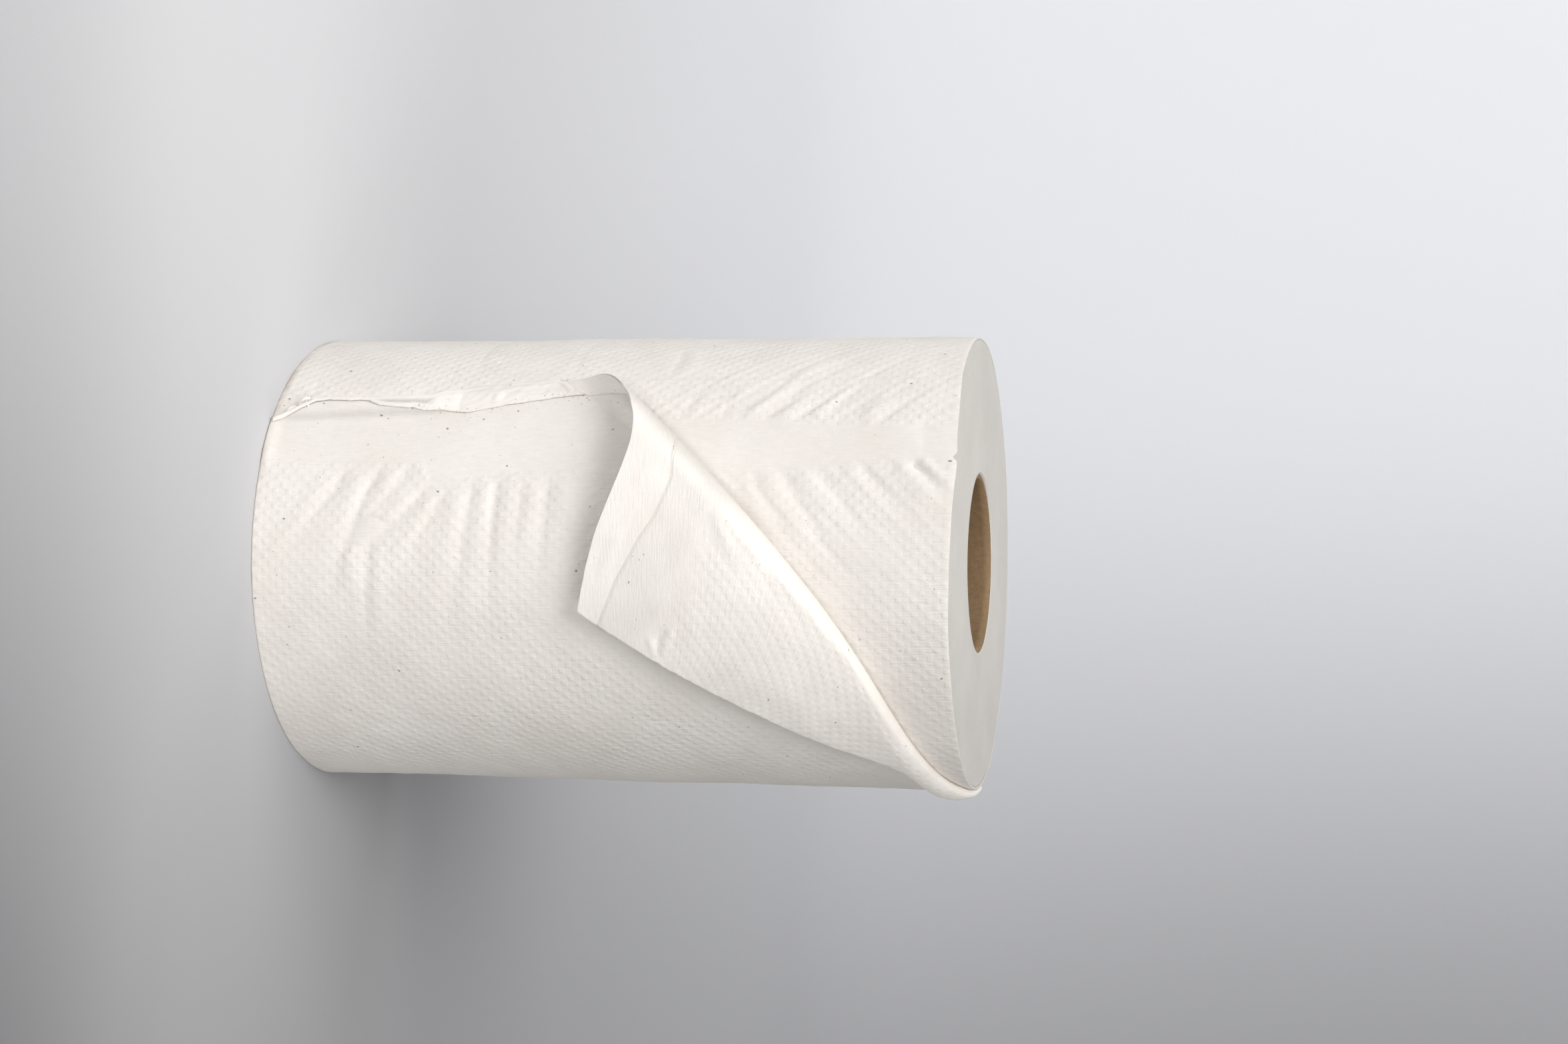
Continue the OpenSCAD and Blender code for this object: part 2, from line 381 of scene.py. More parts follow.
def curve_across(u):
    """The unit direction across the fold, away from the flap."""
    u = np.asarray(u, float)[..., None]
    slope = ((1 - u) ** 2 * (FOLD[1] - FOLD[0]) + 2 * (1 - u) * u * (FOLD[2] - FOLD[1])
             + u ** 2 * (FOLD[3] - FOLD[2]))
    slope /= np.linalg.norm(slope, axis=-1, keepdims=True)
    return np.stack([-slope[..., 1], slope[..., 0]], -1)


def curl_radius(u):
    """Radius of the curl's first arc: wide at the tail, tight at the slit edge and tightest at the rim."""
    radius = CURL_SLIT + (CURL_TAIL - CURL_SLIT) * np.maximum(1 - u, 0) ** 2
    return radius * (1 - 0.5 * smooth(0.92, 1.04, u))


FOLD_SHARES = np.linspace(0, 1, 160)
FOOT = curve_point(FOLD_SHARES) - curl_radius(FOLD_SHARES)[:, None] * curve_across(FOLD_SHARES)


def tail_at(z):
    """Where the torn tail ends on the left, at a height."""
    return np.interp(z, HEM[:, 0], HEM[:, 1])


def strip_end(z):
    """The right side of the smooth glue strip on the outer sheet."""
    heights = [0, 50, 53, 60, 68, 77, 86, 105]
    return np.interp(z, heights, [-28.8, -28.4, -21, -22.5, -24, -25, -25.5, -27])


def band_sides(z):
    """Both sides of the smooth strip on the bared turn."""
    left = np.interp(z, [115, 150, 180, ROLL_H], [-42, -42.5, -41, -41.5])
    right = np.interp(z, [130, 149, 165, 180, ROLL_H], [-25, -25, -27, -29, -30])
    return left, right


print("fold foot from", np.round(FOOT[0], 1), "to", np.round(FOOT[-1], 1))

# %% [markdown]
# ## Wrinkles
#
# Glue pulls the paper short, so it wrinkles beside the strips: in a chevron next to the bared one, and in
# level folds next to the outer one. A cloth simulation would make wrinkles, but not in these places. So each
# is a short path on the web with a width and a height, and a soft hill or valley follows the path.

# %% Wrinkles on the web
# Each wrinkle: its path on the web, its width and its height. A negative height is a valley.
BARE_WRINKLES = [
    ([(-77, 171), (-73, 166.5), (-68, 161.5), (-63, 157),
      (-58, 154.5), (-53, 151), (-48, 146.5), (-44, 142.5)], 1.4, 0.75),
    ([(-75, 164.5), (-70, 160), (-65, 155.5), (-60, 152.5),
      (-57, 151.5), (-52, 148), (-47, 143), (-44, 140.5)], 1.1, -0.35),
    ([(-53, 191), (-47, 186), (-42, 181)], 1.2, -0.45),
    ([(-53, 185), (-47, 180), (-43, 177)], 1.7, 0.6),
    ([(-62, 177), (-55, 173), (-50, 170), (-46, 167)], 1.1, -0.4),
    ([(-55, 170.5), (-49, 167), (-44, 162.5)], 1.5, 0.45),
    ([(-58, 170.5), (-50, 164.5), (-46, 160), (-43, 156)], 1.0, -0.4),
    ([(-54, 161), (-48, 157.5), (-43, 152.5)], 1.5, 0.6),
    ([(-55, 157.5), (-49, 154.5), (-45, 150), (-43, 147.5)], 0.9, -0.5),
    ([(-70, 171), (-62, 162.5)], 1.4, -0.3),
    ([(-69, 183), (-60, 175.5)], 1.4, -0.25),
    ([(-64, 196), (-56, 188), (-51, 182)], 1.5, -0.25),
    ([(-66, 149), (-56, 139)], 1.5, -0.3),
    ([(-71, 141), (-60, 131.5)], 1.5, -0.25),
    ([(-62, 146), (-50, 137.5)], 1.6, 0.35),
    ([(-53.5, 141), (-53, 137), (-51.5, 132)], 0.8, -0.45),
    ([(-52, 138), (-48, 137), (-44, 136.5)], 0.8, -0.4),
    ([(-52, 127.5), (-47, 125)], 1.1, -0.45),
    ([(-50, 130), (-44, 127)], 1.4, 0.4),
    ([(-20.5, 200.5), (-25, 196), (-29.3, 191.3)], 1.0, -0.9),
    ([(-24, 200.5), (-27.5, 197), (-30, 194)], 1.4, 0.4),
    ([(-17, 198), (-22, 192.5), (-27.5, 187)], 2.2, 0.55),
    ([(-17, 187.5), (-22, 182.5), (-27.5, 177)], 1.2, -0.6),
    ([(-13, 186), (-20, 179), (-27, 172.5)], 2.2, 0.45),
    ([(-6, 181), (-14, 175), (-20, 171), (-26.5, 165)], 1.5, -0.45),
    ([(-3, 178), (-12, 170.5), (-20, 165), (-26.5, 160)], 2.6, 0.55),
    ([(6, 177), (-5, 168.5), (-13, 163.5), (-18, 160.3), (-25.5, 154.5)], 1.4, -0.65),
    ([(4, 172), (-6, 163.5), (-16, 156.5), (-25, 150)], 2.4, 0.5),
    ([(-9, 157.5), (-20, 149.5), (-26, 146.5)], 1.2, -0.4),
    ([(-12, 152), (-22, 144.5)], 1.8, 0.4),
    ([(-42.5, 201), (-41, 196), (-39.5, 191)], 1.0, -0.45),
    ([(-36, 199), (-35.5, 193)], 4.0, -0.35),
]
SHEET_WRINKLES = [
    ([(-24, 93.5), (-14, 93), (-5, 91)], 2.4, 0.55),
    ([(-24, 88.3), (-16, 87.8), (-7, 87.5)], 1.2, -0.5),
    ([(-23.5, 84), (-15, 84), (-6, 82)], 2.3, 0.65),
    ([(-22, 80.8), (-14, 80.5)], 0.9, -0.25),
    ([(-23, 77), (-14, 77), (-4, 76)], 2.2, 0.55),
    ([(-24, 73), (-17, 72.6), (-9, 72.5)], 1.0, -0.7),
    ([(-22.5, 69.5), (-14, 69.5), (-5, 68)], 1.9, 0.5),
    ([(-22, 66), (-15, 65), (-9, 64.3)], 1.2, -0.45),
    ([(-20, 61.5), (-12, 61), (-3, 59)], 2.3, 0.5),
    ([(-20, 58.5), (-12, 54)], 1.3, -0.4),
    ([(-17, 54.5), (-9, 49.5)], 2.0, 0.45),
    ([(-20.8, 53), (-15, 48), (-9.5, 42.5)], 0.9, -0.6),
    ([(-21, 47.5), (-15, 43.5)], 2.4, 0.5),
    ([(-28, 47.5), (-20, 41.5)], 1.4, -0.45),
    ([(-26, 43), (-18, 38.5), (-12, 36)], 2.2, 0.5),
    ([(-27.5, 38.3), (-20, 34), (-10, 30.8)], 1.1, -0.75),
    ([(-26, 33), (-18, 29), (-10, 26)], 2.6, 0.55),
    ([(-27, 26.8), (-20, 24.5), (-12, 18.5)], 1.3, -0.55),
    ([(-26, 22), (-18, 18), (-10, 13)], 2.6, 0.4),
    ([(-5, 36.2), (2, 35.5), (9, 35)], 1.2, -0.45),
    ([(-3, 39.5), (4, 39)], 1.8, 0.4),
    ([(-3, 30), (3, 30.5)], 2.2, 0.4),
]
# Thin grooves along the strip's side and round the pressed oval.
STRIP_GROOVES = [
    ([(-27, 105), (-26.5, 95), (-25.5, 86), (-25, 77), (-24, 68), (-22.5, 60), (-20.8, 53)], 0.6, -0.28),
    ([(-28, 86), (-29.2, 79.5)], 0.6, -0.2),
    ([(-31.5, 66), (-31.9, 60), (-31.3, 53)], 0.6, -0.2),
    ([(-28.5, 50), (-28.7, 25), (-29.2, 3)], 0.6, -0.22),
    ([(-8, 42.5), (-11.3, 38.3), (-11.2, 33), (-10.3, 29.8), (-7.5, 26)], 0.6, -0.5),
    ([(-4, 40), (-2.6, 35), (-3.5, 29), (-6, 25.5)], 0.6, -0.25),
]
LEFT_WRINKLES = [
    ([(-80, 118), (-70, 118.5), (-62, 117.5)], 1.2, -0.45),
    ([(-79, 122), (-70, 122.5), (-61, 121)], 2.0, 0.4),
    ([(-90, 88.5), (-76, 87.5), (-61, 88)], 1.1, -0.3),
    ([(-90, 58), (-76, 57), (-62, 59)], 1.1, -0.32),
    ([(-62, 9.5), (-57, 10), (-52, 10)], 0.8, -0.25),
]


def wrinkle_height(s, z, wrinkles, root=None, reach=0.0):
    """Sum of wrinkles, each worked out only round its own path.

    A wrinkle fades at both ends. With a root, 0 or -1 for the first or last point of its path, it is
    deepest there, and it fades slowly over a run that goes on past its free end by the reach."""
    total = np.zeros(np.shape(s))
    for path, width, height in wrinkles:
        path = np.array(path, float)
        if root is not None:
            path = path if root == 0 else path[::-1]
            way = path[-1] - path[-2]
            path = np.vstack([path, path[-1] + reach * way / np.linalg.norm(way)])
        low, high = path.min(0) - 3 * width, path.max(0) + 3 * width
        near = (s > low[0]) & (s < high[0]) & (z > low[1]) & (z < high[1])
        gap, share = along_path(s[near], z[near], path)
        share = np.clip(share, 0, 1)
        if root is None:
            wide = width
            fade = np.sin(np.pi * share) ** 0.6
        else:
            wide = width * (1 + 0.6 * share)
            fade = smooth(-0.03, 0.12, share) * (1 - share) ** 1.3
        total[near] += height * fade * np.exp(-(gap / wide) ** 2)
    return total


print("wrinkles:", sum(map(len, (BARE_WRINKLES, SHEET_WRINKLES, STRIP_GROOVES, LEFT_WRINKLES))))

# %% [markdown]
# ## The relief of the outer turn
#
# The relief adds everything up: the step at the torn tail, the sheet that is pinched up beside the hem, the
# wrinkles, finer ripples that fade away from the strips, and a soft swelling of the loose paper. It also says
# how strongly each place is embossed, since glue and pressing flatten the dots.

# %% Relief of the outer turn
def bared(s, z):
    """1 where the outer sheet is missing and the turn below shows, else 0."""
    above_fold = np.interp(s, FOOT[:, 0], FOOT[:, 1], left=FOOT[0, 1], right=ROLL_H + 9)
    over = smooth(-0.5, 0.5, z - above_fold) * (s > FOOT[0, 0])
    beside = smooth(-0.3, 0.3, tail_at(z) - s)
    return np.clip(np.maximum(over, beside), 0, 1)


def valley_at(z):
    """Where the sheet that is pinched up beside the hem comes down to the roll again."""
    return np.interp(z, [2, 12.7, 20.8, 33, 43, 53], [-41.6, -42.2, -42.9, -43.6, -44.1, -44.8])


def tail_lift(s, z):
    """The sheet beside the pinched hem stands up, and drops on its right to a valley."""
    lift = np.interp(z, [0, 6, 12, 20, 42, 50, 57], [0.9, 1.3, 1.9, 2.2, 2.2, 1.6, 0])
    valley = valley_at(z)
    slope = 0.35 * smooth(valley - 5.5, valley, s) + 0.65 * smooth(valley - 2.6, valley, s)
    return lift * (1 - slope) * (s >= tail_at(z) - 0.2)


def painted_valley_shade(s, z):
    """Painted shade along the hollow of the valley, which is painted greyer there."""
    beside = np.exp(-((s - valley_at(z) + 1.3) / 1.2) ** 2)
    return 1.7 * beside * smooth(2, 8, z) * (1 - smooth(48, 58, z)) * (s > tail_at(z) + 0.4)


def torn_edge_soil(s, z):
    """1 along the torn edge of the hem, where brown specks have gathered, else 0."""
    edge = np.interp(z, HEM[:, 0], HEM[:, 2])
    return np.exp(-((s - edge + 0.5) / 1.4) ** 2) * smooth(38, 56, z) * (1 - smooth(100, 108, z))


def sheet_relief(s, z):
    """Height of the outer turn off the roll, and how strongly it is embossed."""
    bare = bared(s, z)
    from_tail = s - tail_at(z)
    height = -SHEET_T * np.mod(from_tail, AROUND) / AROUND - bare * SHEET_T * (from_tail > 0)
    height += (1 - bare) * tail_lift(s, z)
    left, right = band_sides(z)
    in_band = smooth(left - 1.0, left + 1.0, s) * (1 - smooth(right - 1.5, right + 1.5, s))
    in_band = in_band * smooth(100, 104, z)
    in_strip = smooth(-0.5, 0.5, from_tail) * smooth(-0.8, 0.8, strip_end(z) - s) * (z < 112)
    oval = np.exp(-(((s + 7) / 4.0) ** 2 + ((z - 34.0) / 7.5) ** 2) ** 2)
    height += 0.95 * bare * wrinkle_height(s, z, BARE_WRINKLES, -1, 9.0)
    height += (1 - bare) * (0.9 * wrinkle_height(s, z, SHEET_WRINKLES, 0, 32.0) - 0.2 * oval)
    height += (1 - bare) * wrinkle_height(s, z, STRIP_GROOVES)
    height += 0.6 * wrinkle_height(s, z, LEFT_WRINKLES)
    # Slanting ripples fade away from the bared strip.
    wave = 0.5 + 0.5 * noise(s / 9, z / 9, 5)
    down = np.exp(-np.maximum(left - s, 0) / 18) * (s < left)
    up = np.exp(-np.maximum(s - right, 0) / 22) * (s > right) * (s < 60)
    ripple = down * np.sin((z + 0.95 * s) / 0.95 + 1.6 * noise(s / 14, z / 14, 6))
    ripple += up * np.sin((z - 0.9 * s) / 1.2 + 1.6 * noise(s / 14, z / 14, 7))
    height += 0.13 * wave * ripple * smooth(100, 118, z) * np.where(s > right, bare, 1)
    # The strip and the band are pressed flat, and the paper beside them swells.
    loose = 1 - np.clip(bare * in_band + (1 - bare) * in_strip, 0, 1)
    height += loose * (0.12 + 0.10 * noise(s / 5, z / 5, 9)) + 0.25 * noise(s / 26, z / 21, 8)
    # The rim bulges where the roll has been set down hard.
    height += 0.7 * smooth(-46, -40, s) * (1 - smooth(-31, -26, s)) * (1 - smooth(0.5, 5.0, z))
    emboss = (0.12 + 0.88 * loose) * (1 - (1 - bare) * 0.85 * oval) * (1 - 0.15 * bare * (s > right))
    emboss *= 0.8 + 0.3 * noise(s / 17, z / 15, 10)
    return height, emboss


sample_h, sample_e = sheet_relief(np.array([0.0, 60.0]), np.array([40.0, 120.0]))
print("relief at two places", np.round(sample_h, 2), "emboss", np.round(sample_e, 2))

# %% [markdown]
# ## The outer turns
#
# The outermost turns are a sleeve about a millimetre thick. The embossing follows a rule, two crossed waves
# that make a chequerboard of dots and hollows, so a Geometry Nodes tree makes it: the sleeve starts as a flat
# grid that holds (s, z, h), and the tree adds the dots to h and winds the grid round the roll. The number of
# waves in one turn is whole, so the pattern meets itself at the back.

# %% Flat sleeve
SLEEVE = 1.0
DOT_SPACING = 4.17
DOT_WAVES = round(AROUND / DOT_SPACING)
DOT_PITCH = AROUND / DOT_WAVES
# Spans of the sleeve round the roll: start and end in millimetres, and columns to one wave of dots.
SPANS = [(-100, -80, 5), (-80, 2, 8), (2, 92, 5), (92, AROUND - 100, 2)]
ROWS_TO_A_WAVE = 5


def sleeve_columns():
    """Places round the roll that keep step with the dots: closest together where the paper is creased."""
    places = []
    for start, end, count in SPANS:
        first, last = (math.ceil(v / DOT_PITCH) * count for v in (start, end))
        places.append(np.arange(first, last) * DOT_PITCH / count)
    return np.concatenate(places)


def rim_lift(s):
    """The outer turns stand a little above the end face at the front left."""
    lip = smooth(-66, -44, s) * (1 - smooth(-12, 20, s)) * (0.8 + 0.7 * np.exp(-((s + 28) / 9) ** 2))
    nick = np.exp(-((s + 30.5) / 0.9) ** 2)
    return lip * (1 - 0.8 * nick) + 0.12 * noise(s / 9, 0.5, 21)


s_at = sleeve_columns()
s_at = np.where(s_at > AROUND / 2, s_at - AROUND, s_at)
s_at = np.sort(s_at)
row_step = DOT_PITCH / ROWS_TO_A_WAVE
skin_z = np.arange(1, int(ROLL_H / row_step)) * row_step
# Rows from the inside of the bottom rim, up the skin, to the inside of the top rim: (z, h, share of relief).
rim = [(0.0, -SLEEVE, 0), (0.0, -0.5, 0.3), (0.05, -0.15, 0.7), (0.25, -0.03, 1)]
profile = rim + [(z, 0.0, 1) for z in skin_z] + [(ROLL_H - z, h, k) for z, h, k in rim[::-1]]
row_z, row_h, row_k = (np.array(v) for v in zip(*profile))
S, Z = np.meshgrid(s_at, row_z)
relief, dots = sheet_relief(S, Z)
near_top = smooth(ROLL_H - 3, ROLL_H, Z)
flat_h = row_h[:, None] + row_k[:, None] * relief
flat_z = Z + near_top * rim_lift(S) * (row_k[:, None] > 0.1)
flat = np.stack([S, flat_z, flat_h], -1)
quads = ring_grid(*S.shape)
corner_s = S.ravel()[quads]
corner_s = np.where(corner_s.max(1, keepdims=True) - corner_s > AROUND / 2, corner_s + AROUND, corner_s)
corner_web = np.stack([corner_s, Z.ravel()[quads]], -1)
# The rim is as grey as the end face.
rim_shade = 2.2 * (1 - smooth(0.3, 0.95, row_k))[:, None]
# The shade field holds the valley's painted shade and the rim's grey.
outer_fields = {
    "emboss": dots * row_k[:, None],
    "soil": torn_edge_soil(S, Z),
    "shade": painted_valley_shade(S, Z) + rim_shade,
}
outer_turns = mesh_object("outer_turns", flat.reshape(-1, 3), quads, corner_web, **outer_fields)
print("flat sleeve:", S.shape[0], "rows by", S.shape[1], "columns,", DOT_WAVES, "waves in a turn")

# %% [markdown]
# ## The paper
#
# Towel paper is scraped off its drying drum, which leaves fine crepe lines in it, and this one has brown
# specks. One material serves all of the sheet. The colour is a warm white with clouds, crepe and specks,
# with a greyer band, painted shade and painted light from the shade field, and a painted shadow line along
# the flap's crease; the bump has dots, crepe and fibres. A picture of paper would repeat and need a clean
# scan. Noise on the web's UV map doesn't, and the fields on the meshes say where it changes.

# %% Paper material
DOT_BUMP = 0.125
# How far the dots stray from their lattice, in millimetres from side to side.
DOT_STRAY = 1.3


def new_material(name):
    """An empty material with its shader and a wire to build on."""
    material = bpy.data.materials.new(name)
    material.use_nodes = True
    tree = material.node_tree
    return material, Wire(tree), tree.nodes["Principled BSDF"]


def link(wire, node, socket):
    wire.tree.links.new(wire.socket, node.inputs[socket])


def field(base, name):
    """The number that a mesh keeps under a name, or 0 where it keeps none."""
    return base.make("ShaderNodeAttribute", out=2, attribute_name=name)


def fleck(place, cell, share, size, turn):
    """1 inside sparse specks: a cell of the web that draws a high number holds one."""
    scale = (1 / cell, 0.75 / cell, 1)
    place = place.make("ShaderNodeMapping", {"Vector": place, "Rotation": (0, 0, turn), "Scale": scale})
    sockets = {"Vector": place, "Scale": 1.0, "Randomness": 1.0}
    gap = place.make("ShaderNodeTexVoronoi", sockets, voronoi_dimensions="2D")
    draw = place.make("ShaderNodeTexVoronoi", sockets, out=1, voronoi_dimensions="2D")
    number = place.make("ShaderNodeSeparateColor", {"Color": draw})
    radius = size / cell * (0.5 + place.make("ShaderNodeSeparateColor", {"Color": draw}, out=1))
    return place.math("LESS_THAN", gap, radius) * place.math("GREATER_THAN", number, 1 - share)


def paper_material(name):
    """White creped towel: warm tint, sparse dark flecks, embossed dots, fine crepe lines and fibres."""
    material, base, shader = new_material(name)
    web = base.make("ShaderNodeUVMap", uv_map=WEB)
    sheet = base.make("ShaderNodeVectorMath", {0: web, 1: (1000, 1000, 0)}, operation="MULTIPLY")
    s, z = sheet.axis(0), sheet.axis(1)
    shade, crease = field(base, "shade"), field(base, "crease")
    wobble = sheet.clouds(1.6, 2.0, out=1)
    cloud = sheet.clouds(0.04, 5.0, Roughness=0.6)
    tone = cloud.between(0.3, 0.7).blend((0.815, 0.775, 0.725, 1), (0.865, 0.828, 0.785, 1))
    crepe_at = base.make("ShaderNodeMapping", {"Vector": sheet.shaken(wobble, 0.25), "Scale": (1.9, 0.2, 1)})
    crepe = crepe_at.clouds(1.0, 2.0, Roughness=0.5)
    formation = sheet.clouds(0.5, 4.0, Roughness=0.65)
    # Shade field: positive darkens, negative lightens; it holds a greyer band, painted shade and painted
    # light.
    tint = (1 - shade * 0.10) * (0.915 + crepe * 0.11 + formation * 0.06)
    tone = base.make("ShaderNodeVectorMath", {0: tone, "Scale": tint}, operation="SCALE")
    # Marks on the sheet: where each is, how strong it is and its colour. The crease reads 10 on its line.
    foot = (1 - z.between(0.2, 2.5)) * cloud.between(0.4, 0.6) * (1 - s.between(-40, -5))
    soiled = s.between(-62, -54) * (1 - s.between(-34, -22)) * (1 - z.between(96, 112))
    nudged = sheet.shaken(wobble, 0.7)
    # The seam is a painted shadow: a thin dark line along the step of the hem's edge on the flap.
    seam = crease.between(9.75, 10.0) * (1 - crease.between(10.0, 10.4))
    marks = [
        (foot, 0.5, (0.42, 0.33, 0.24, 1)),
        (fleck(nudged, 4.0, soiled * 0.06 + 0.02, 0.20, 2.0), 0.45, (0.40, 0.28, 0.17, 1)),
        (fleck(nudged, 1.1, field(base, "soil") * 0.5, 0.16, 0.7), 0.6, (0.33, 0.25, 0.15, 1)),
        (fleck(nudged, 2.6, soiled * 0.06 + 0.03, 0.11, 1.1), 0.6, (0.19, 0.16, 0.12, 1)),
        (fleck(nudged, 6.0, soiled * 0.22 + 0.075, 0.22, 0.3), 0.68, (0.12, 0.105, 0.075, 1)),
        (seam, 0.35, (0.45, 0.39, 0.32, 1)),
    ]
    for where, strength, colour in marks:
        tone = (where * strength).blend(tone, colour)
    link(tone, shader, "Base Color")
    # Heights of the fine relief, in millimetres.
    strayed = sheet.shaken(sheet.clouds(0.28, 2.0, out=1), DOT_STRAY)
    ds, dz = ((strayed.axis(k) - DOT_STRAY / 2) * (2 * math.pi / DOT_PITCH) for k in (0, 1))
    chequer = ds.cosine() * dz.cosine()
    dots = chequer.between(-0.15, 0.95) * field(base, "emboss") * (0.45 + sheet.clouds(0.22, 3.0) * 1.1)
    fibre = sheet.clouds(1.6, 3.0, Distortion=0.4)
    ledge = 1 - crease.between(9.7, 10.1)
    groove = crease.between(9.8, 10.2) * (1 - crease.between(10.2, 10.9))
    crepe_depth = base.math("MAXIMUM", 0.17 + shade * 0.05, 0.1)
    height = dots * DOT_BUMP + crepe * crepe_depth + fibre * 0.06 + ledge * 0.22 - groove * 0.12
    bump = base.make("ShaderNodeBump", {"Height": height, "Strength": 1.0, "Distance": MM})
    link(bump, shader, "Normal")
    link(fibre.between(0.2, 0.8) * 0.06 + 0.9, shader, "Roughness")
    shader.inputs["Specular IOR Level"].default_value = 0.2
    return material


paper = paper_material("creped_paper")
print("paper material:", len(paper.node_tree.nodes), "nodes")

# %% [markdown]
# ## Winding the sleeve
#
# The tree reads each point as (s, z, h), adds the dots and winds it: the way round becomes an angle, the
# height off the roll a radius. Sculpting dots by hand would take days and never meet at the back. The tree's
# inputs have names, so another roll needs only another radius, pitch or dot height.

# %% Winding and embossing nodes
DOT_HEIGHT = 0.03


def group_inputs(tree, sockets):
    """Named inputs of a tree, as name: (type, default), and the wires that leave its input node."""
    tree.interface.new_socket("Geometry", in_out="INPUT", socket_type="NodeSocketGeometry")
    for name, (kind, value) in sockets.items():
        tree.interface.new_socket(name, in_out="INPUT", socket_type=kind).default_value = value
    tree.interface.new_socket("Geometry", in_out="OUTPUT", socket_type="NodeSocketGeometry")
    node = tree.nodes.new("NodeGroupInput")
    return {s.name: Wire(tree, s) for s in node.outputs if s.name}


def finish_tree(geometry, material):
    """Realize Instances and Set Material close the tree."""
    geometry = geometry.make("GeometryNodeRealizeInstances", {"Geometry": geometry})
    geometry = geometry.make("GeometryNodeSetMaterial", {"Geometry": geometry, "Material": material})
    out = geometry.tree.nodes.new("NodeGroupOutput")
    geometry.tree.links.new(geometry.socket, out.inputs[0])


def winding_tree():
    """Adds the dots to a flat sleeve and winds it round the roll."""
    tree = bpy.data.node_groups.new("wind_and_emboss", "GeometryNodeTree")
    wires = group_inputs(tree, {
        "Roll radius": ("NodeSocketFloat", ROLL_R * MM),
        "Dot pitch": ("NodeSocketFloat", DOT_PITCH * MM),
        "Dot height": ("NodeSocketFloat", 0.0001),
    })
    base = Wire(tree)
    place = base.make("GeometryNodeInputPosition")
    s, z, h = (place.axis(k) for k in range(3))
    strength = base.make("GeometryNodeInputNamedAttribute", {"Name": "emboss"}, data_type="FLOAT")
    turn = 2 * math.pi / wires["Dot pitch"]
    chequer = (s * turn).cosine() * (z * turn).cosine()
    dots = chequer.between(-0.1, 0.95) - 0.25
    r = wires["Roll radius"] + h + dots * strength * wires["Dot height"]
    angle = s / wires["Roll radius"]
    wound = base.make("ShaderNodeCombineXYZ", {
        "X": r * base.math("SINE", angle),
        "Y": r * angle.cosine() * -1,
        "Z": z,
    })
    geometry = base.make("GeometryNodeSetPosition", {"Geometry": wires["Geometry"], "Position": wound})
    finish_tree(geometry, paper)
    return tree


def apply_tree(piece, tree, **values):
    """Run a tree on a piece with some inputs set, and keep the plain mesh that it makes."""
    modifier = piece.modifiers.new("nodes", "NODES")
    modifier.node_group = tree
    for item in tree.interface.items_tree:
        if item.in_out == "INPUT" and item.name in values:
            modifier[item.identifier] = values[item.name]
    evaluated = piece.evaluated_get(bpy.context.evaluated_depsgraph_get())
    mesh = bpy.data.meshes.new_from_object(evaluated)
    piece.modifiers.clear()
    mesh.name = piece.name
    piece.data = mesh
    return piece


apply_tree(outer_turns, winding_tree(), **{"Dot height": DOT_HEIGHT * MM})
stand_in(outer_turns, "paper_roll")

# %% [markdown]
# ## The wound body
#
# Inside the sleeve, the rest of the winding shows only on its two end faces. The turns leave a faint spiral
# there: a shallow line whose radius grows by one pitch in each turn, cut into the faces of a closed ring.

# %% Wound body
BODY_OUT = ROLL_R - SLEEVE + 0.05
TURN_PITCH = 3.4
BODY_COLS = 200


def turn_line(r, angle):
    """Depth of the spiral line and the small unevenness of an end face."""
    place = np.mod(r / TURN_PITCH - angle / (2 * math.pi), 1)
    line = np.exp(-((place - 0.5) / 0.13) ** 2)
    uneven = noise(r / 5, 3 * np.cos(angle) + 7, 31) * 0.5 + noise(r / 1.7, 2 * np.sin(angle) + 5, 32) * 0.5
    return -0.04 * line * (0.6 + 0.4 * uneven) + 0.06 * uneven


face_r = np.linspace(CORE_OUT + 0.05, BODY_OUT, 56)
angle = np.linspace(0, 2 * math.pi, BODY_COLS, endpoint=False)
A, RR = np.meshgrid(angle, face_r)
top_z = ROLL_H - 0.08 + turn_line(RR, A)
low_z = 0.02 - 0.3 * turn_line(RR, A)
ring_r = np.concatenate([RR, RR[::-1]])
ring_z = np.concatenate([low_z, top_z[::-1]])
ring_a = np.concatenate([A, A])
body_points = np.stack([ring_r * np.sin(ring_a), -ring_r * np.cos(ring_a), ring_z], -1)
quads = ring_grid(*ring_r.shape)
corner_a = ring_a.ravel()[quads]
corner_a = np.where(corner_a.max(1, keepdims=True) - corner_a > math.pi, corner_a + 2 * math.pi, corner_a)
body_web = np.stack([corner_a * ROLL_R * 0.5, ring_r.ravel()[quads] + 2 * ring_z.ravel()[quads]], -1)
wound_body = mesh_object("wound_body", body_points.reshape(-1, 3), quads, body_web)
stand_in(wound_body, "paper_roll")

# %% [markdown]
# ## The cut ends
#
# A saw cuts the log into rolls, so the end faces show hundreds of paper edges, greyer than the sheet because
# light is lost between them. Modelling each turn would cost millions of faces. Fine rings of noise along the
# radius look the same from a step away.

